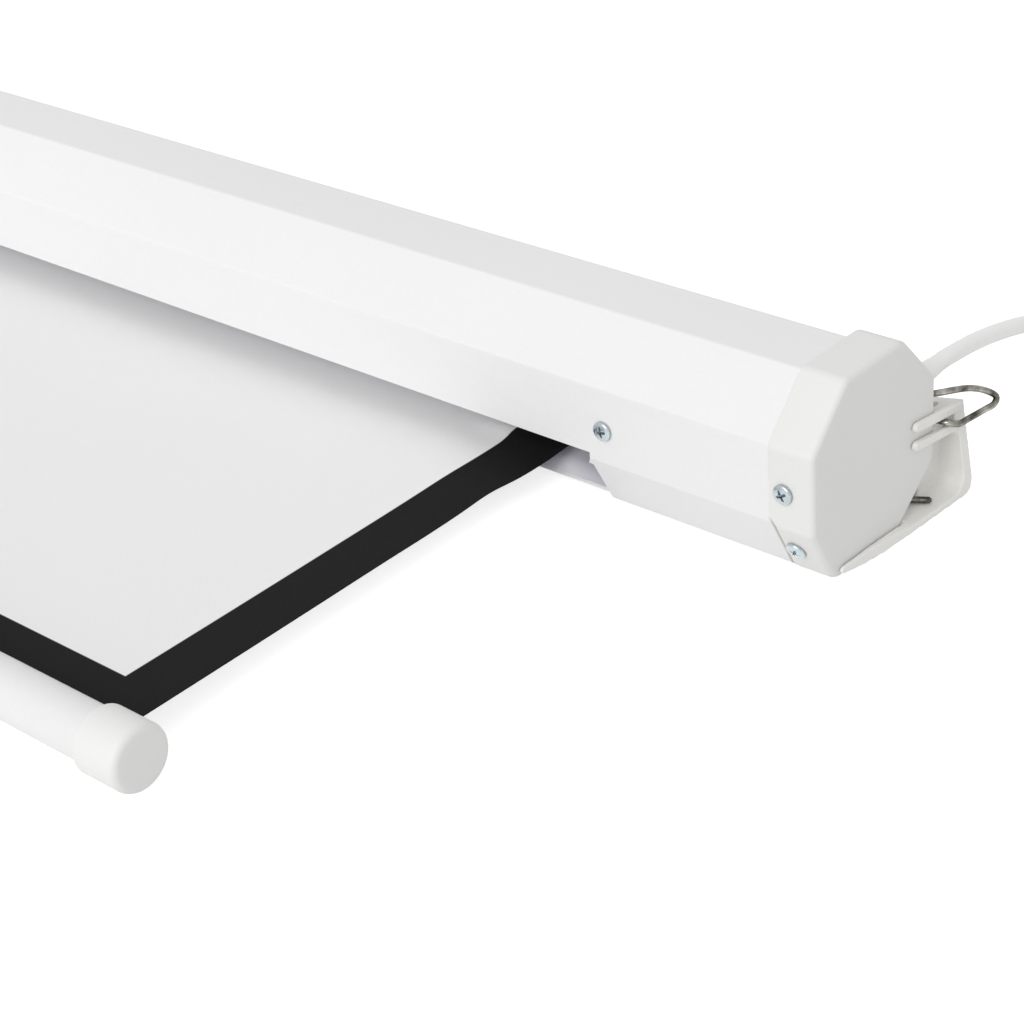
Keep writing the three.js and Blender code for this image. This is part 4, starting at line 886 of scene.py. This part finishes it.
FRONT_OUT = np.array([0.0, -1.0, 0.0])
LOW_OUT = np.array([0.0, -CREASE_Z, -CREASE_Y]) / math.hypot(CREASE_Z, CREASE_Y)
LOW_SHARE = 0.565                 # how far up the low chamfer its screw sits
LOW_AT = [CREASE_Y * (1 - LOW_SHARE), CREASE_Z * LOW_SHARE] + LOW_OUT[1:] * CAP_OUT
# Each screw's inset from the cap's face, its Y and Z, the way out of the surface, and its turn
SCREWS = {
    "cap_screw_front": (13.0, (-CAP_OUT, 40.1), FRONT_OUT, 0.5),
    "cap_screw_low": (11.5, LOW_AT, LOW_OUT, 1.1),
    "casing_screw": (99.4, (0.0, 39.7), FRONT_OUT, 0.2),
}
for end, side in ENDS:
    for kind, (inset, seat, out, turned_by) in SCREWS.items():
        at = np.array([side * (HALF - inset), *seat])
        screw = from_grid(f"cross_{kind}_{end}", screw_grid(at, out, turned_by), ends=False, sharp=50)
        dress(screw, zinc_plate, stands_for=(f"{kind}_{end}",))
        paint_recess_shade(screw, at, out)


# Bottom bar
def make_bar():
    """Tube with a lengthways slit towards the cloth: an open ring of an outer and an inner arc,
    swept along X."""
    slit = math.degrees(math.asin(BAR_SLIT / 2 / BAR_RADIUS))
    outer = arc((BAR_Y, BAR_Z), BAR_RADIUS, slit, 360 - slit, 72)
    inner = arc((BAR_Y, BAR_Z), BAR_RADIUS - BAR_WALL, 360 - slit, slit, 72)
    ring = np.vstack([outer, inner])
    end = BAR_FACE - BAR_CAP_FACE - GAP
    return band("bar_tube", loft([ring, ring], [-end, end]))


dress(make_bar(), enamelled_tube, "bar", ("bottom_bar",))


def make_bar_cap():
    """Push-on cap: bore, rim, wall and a face, whose rim and edge are quarter circles."""
    deep = BAR_CAP_LENGTH - BAR_CAP_FACE
    bore = BAR_RADIUS + GAP
    rim = arc((BAR_CAP_RADIUS - BAR_CAP_RIM, BAR_CAP_RIM), BAR_CAP_RIM, 270, 360, 4)
    edge = arc((BAR_CAP_RADIUS - BAR_CAP_EDGE, BAR_CAP_LENGTH - BAR_CAP_EDGE), BAR_CAP_EDGE, 0, 90, 8)
    profile = np.vstack([[[0, deep], [bore, deep], [bore, 0]], rim, edge,
                         [[BAR_CAP_RING, BAR_CAP_LENGTH], [0, BAR_CAP_LENGTH]]])
    return turned(profile, [BAR_FACE - BAR_CAP_LENGTH, BAR_Y, BAR_Z], [1, 0, 0], 80)


bar_cap_grid = make_bar_cap()
for end, side in ENDS:
    cap = from_grid(f"push_cap_{end}", bar_cap_grid * [side, 1, 1], ends=False)
    dress(cap, bar_cap_abs, "bar", (f"bar_cap_{end}",))


# Brackets and their lock wires
def soften(node, name, voxel=0.00045):
    """A merged copy of a CAD node, remeshed finely (in metres) and smoothed, so that its edges are
    round as moulded ones are."""
    mesh = nodes[node].data.copy()
    work = bmesh.new()
    work.from_mesh(mesh)
    bmesh.ops.remove_doubles(work, verts=work.verts, dist=1e-6)
    work.to_mesh(mesh)
    work.free()
    obj = add_object(name, mesh)
    remesh = obj.modifiers.new("remesh", "REMESH")
    remesh.mode, remesh.voxel_size = "VOXEL", voxel
    ease = obj.modifiers.new("ease", "SMOOTH")
    ease.factor, ease.iterations = 0.5, 4
    apply_modifiers(obj)
    obj.data.polygons.foreach_set("use_smooth", np.ones(len(obj.data.polygons), bool))
    return obj


WIRE_RADIUS, WIRE_STEP = 1.35, 0.8
END_ROUND = 1.2                   # steps in which the wire's ends get round
SHADED_END = 1.6                    # how far the cut ends are bare and painted darker as shade
# The wire's route, as shares of the box that it fills
WIRE_FROM = np.array([HALF - 13.5, CAP_BACK - 10.3, SURFACE + 4.0])
WIRE_SIZE = np.array([HALF + 11.8, CAP_BACK + 26.1, 43.6]) - WIRE_FROM
WIRE_SHARES = [
    [0.585, 0.179, 0], [0.336, 0.082, 0], [0.158, 0, 0], [0.02, 0.11, 0.066], [0, 0.385, 0.35],
    [0, 0.412, 0.619], [0.04, 0.426, 0.839], [0.178, 0.453, 0.956], [0.375, 0.508, 1],
    [0.684, 0.791, 0.993], [0.862, 0.931, 0.939], [0.976, 1, 0.87], [1, 0.931, 0.824],
    [0.95, 0.833, 0.804], [0.888, 0.717, 0.783], [0.826, 0.602, 0.762], [0.768, 0.498, 0.743],
    [0.652, 0.412, 0.766], [0.494, 0.393, 0.768], [0.375, 0.426, 0.738],
]
wire_path = even_steps(smooth_route(np.array(WIRE_SHARES) * WIRE_SIZE + WIRE_FROM), WIRE_STEP)


def make_wire_grid():
    """A round wire along the path, its ends rounded: radius sqrt(1 - (1 - steps / round)^2)."""
    steps = np.minimum(np.arange(len(wire_path)), np.arange(len(wire_path))[::-1])
    inward = 1 - np.clip(steps / END_ROUND, 0, 1)
    return tube(wire_path, WIRE_RADIUS * np.sqrt(np.clip(1 - inward ** 2, 0.15, 1)), 20, (1, -1, 0))


def bare_and_shaded_ends(wire, ends):
    """The cut ends' bare steel, painted darker as their shade, on each face near an end of the wire's
    line.
    """
    way = (face_values(wire.data, "center") * 1000 - SHIFT)[:, None] - ends
    refinish(wire.data, bare_steel_and_shade, np.linalg.norm(way, axis=2).min(axis=1) < SHADED_END)


wire_grid = make_wire_grid()
for end, side in ENDS:
    wire = from_grid(f"spring_wire_{end}", wire_grid * [side, 1, 1], sharp=60)
    dress(wire, nickel_wire, f"wire_{end}", (f"lock_wire_{end}",))
    bare_and_shaded_ends(wire, wire_path[[0, -1]] * [side, 1, 1])
    bracket = soften(f"bracket_{end}", f"moulded_bracket_{end}")
    dress(bracket, moulded_nylon, stands_for=(f"bracket_{end}",))


# Inside
MOTOR_INSET, MOTOR_HEAD = 101.0, 28.0  # from the cap's face to the motor's plate, and its head
motor_end = HALF - MOTOR_INSET + 2 * GAP + MOTOR_HEAD
# The free stretch starts where the strain relief ends inside the casing
inside_from = np.array([EXIT_X, DEPTH - RELIEF_IN - GAP, EXIT_Z])
inside_route = np.vstack([
    inside_from + [[0, 0, 0], [0, -6.6, 0], [-9, -18, -3], [-24, -22.1, -7.86]],
    [[motor_end + LEAD, ROLLER_Y, ROLLER_Z], [motor_end, ROLLER_Y, ROLLER_Z]]])
inside_path = even_steps(smooth_route(inside_route), LEAD_STEP)
inner_lead = from_grid("motor_flex", tube(inside_path, LEAD / 2, LEAD_SIDES))
dress(inner_lead, soft_pvc, stands_for=("motor_lead",))

# The CAD solids that nothing replaces, in their finishes
FINISHES = {
    pressed_steel: ("motor_plate", "idler_plate", "idler_pin", "motor_shaft"),
    painted_motor: ("tubular_motor",),
    zinc_plate: ("motor_screw_1", "motor_screw_2"),
    dark_acetal: ("motor_crown", "drive_wheel", "idler_plug", "cable_tie"),
    mill_aluminium: ("roller_tube",),
    extruded_rod: ("hem_rod",),
}
for finish, names in FINISHES.items():
    for name in names:
        nodes[name].data.materials.clear()
        nodes[name].data.materials.append(finish)


# Floor and light
FLOOR_HALF = 8.0                  # metres
FLOOR_GLOW = 0.72                 # what makes the lit floor white to the rays that see it
SKY_LEVEL, KEY_LEVEL, KEY_ANGLE = 0.66, 1.13, 40.0
KEY_WAY = (-0.05, 0.86, -0.50)
WHITE = (1, 1, 1, 1)


def seen_rays(tree, *kinds):
    """1 for a ray of one of these kinds, and 0 for the rays that light the object."""
    outputs = add_node(tree, "ShaderNodeLightPath").outputs
    seen = outputs[kinds[0]]
    for kind in kinds[1:]:
        seen = maths(tree, "MAXIMUM", seen, outputs[kind])
    return seen


def make_floor():
    """Pale floor, which a camera ray, a reflection and a look through glass see as white."""
    mesh = bpy.data.meshes.new("floor")
    corners = ((-1, -1), (1, -1), (1, 1), (-1, 1))
    mesh.from_pydata([(x * FLOOR_HALF, y * FLOOR_HALF, 0) for x, y in corners], [], [(0, 1, 2, 3)])
    made, tree, shader = new_material("pale_floor", "#dddddd", 0.9)
    seen = seen_rays(tree, "Is Camera Ray", "Is Glossy Ray", "Is Transmission Ray")
    glow = map_range(tree, seen, 0.0, 1.0, 0.0, FLOOR_GLOW)
    shader.inputs["Emission Color"].default_value = WHITE
    tree.links.new(glow, shader.inputs["Emission Strength"])
    mesh.materials.append(made)
    add_object("floor", mesh)


def make_sky():
    """An even white sky, dimmer where it lights the object than where it is seen or mirrored."""
    world = bpy.data.worlds.new("studio")
    bpy.context.scene.world = world
    world.use_nodes = True
    tree = world.node_tree
    backdrop = tree.nodes["Background"]
    seen = seen_rays(tree, "Is Camera Ray", "Is Glossy Ray")
    level = map_range(tree, seen, 0.0, 1.0, SKY_LEVEL, 1.0)
    tree.links.new(level, backdrop.inputs["Strength"])
    backdrop.inputs["Color"].default_value = WHITE


def make_key_light():
    """A wide soft light from the front and above."""
    lamp = bpy.data.lights.new("key", "SUN")
    lamp.energy, lamp.angle = KEY_LEVEL, math.radians(KEY_ANGLE)
    key = add_object("key", lamp)
    key.rotation_euler = Vector(KEY_WAY).to_track_quat("-Z", "Y").to_euler()


make_floor()
make_sky()
make_key_light()
bpy.context.scene.view_settings.view_transform = "Standard"
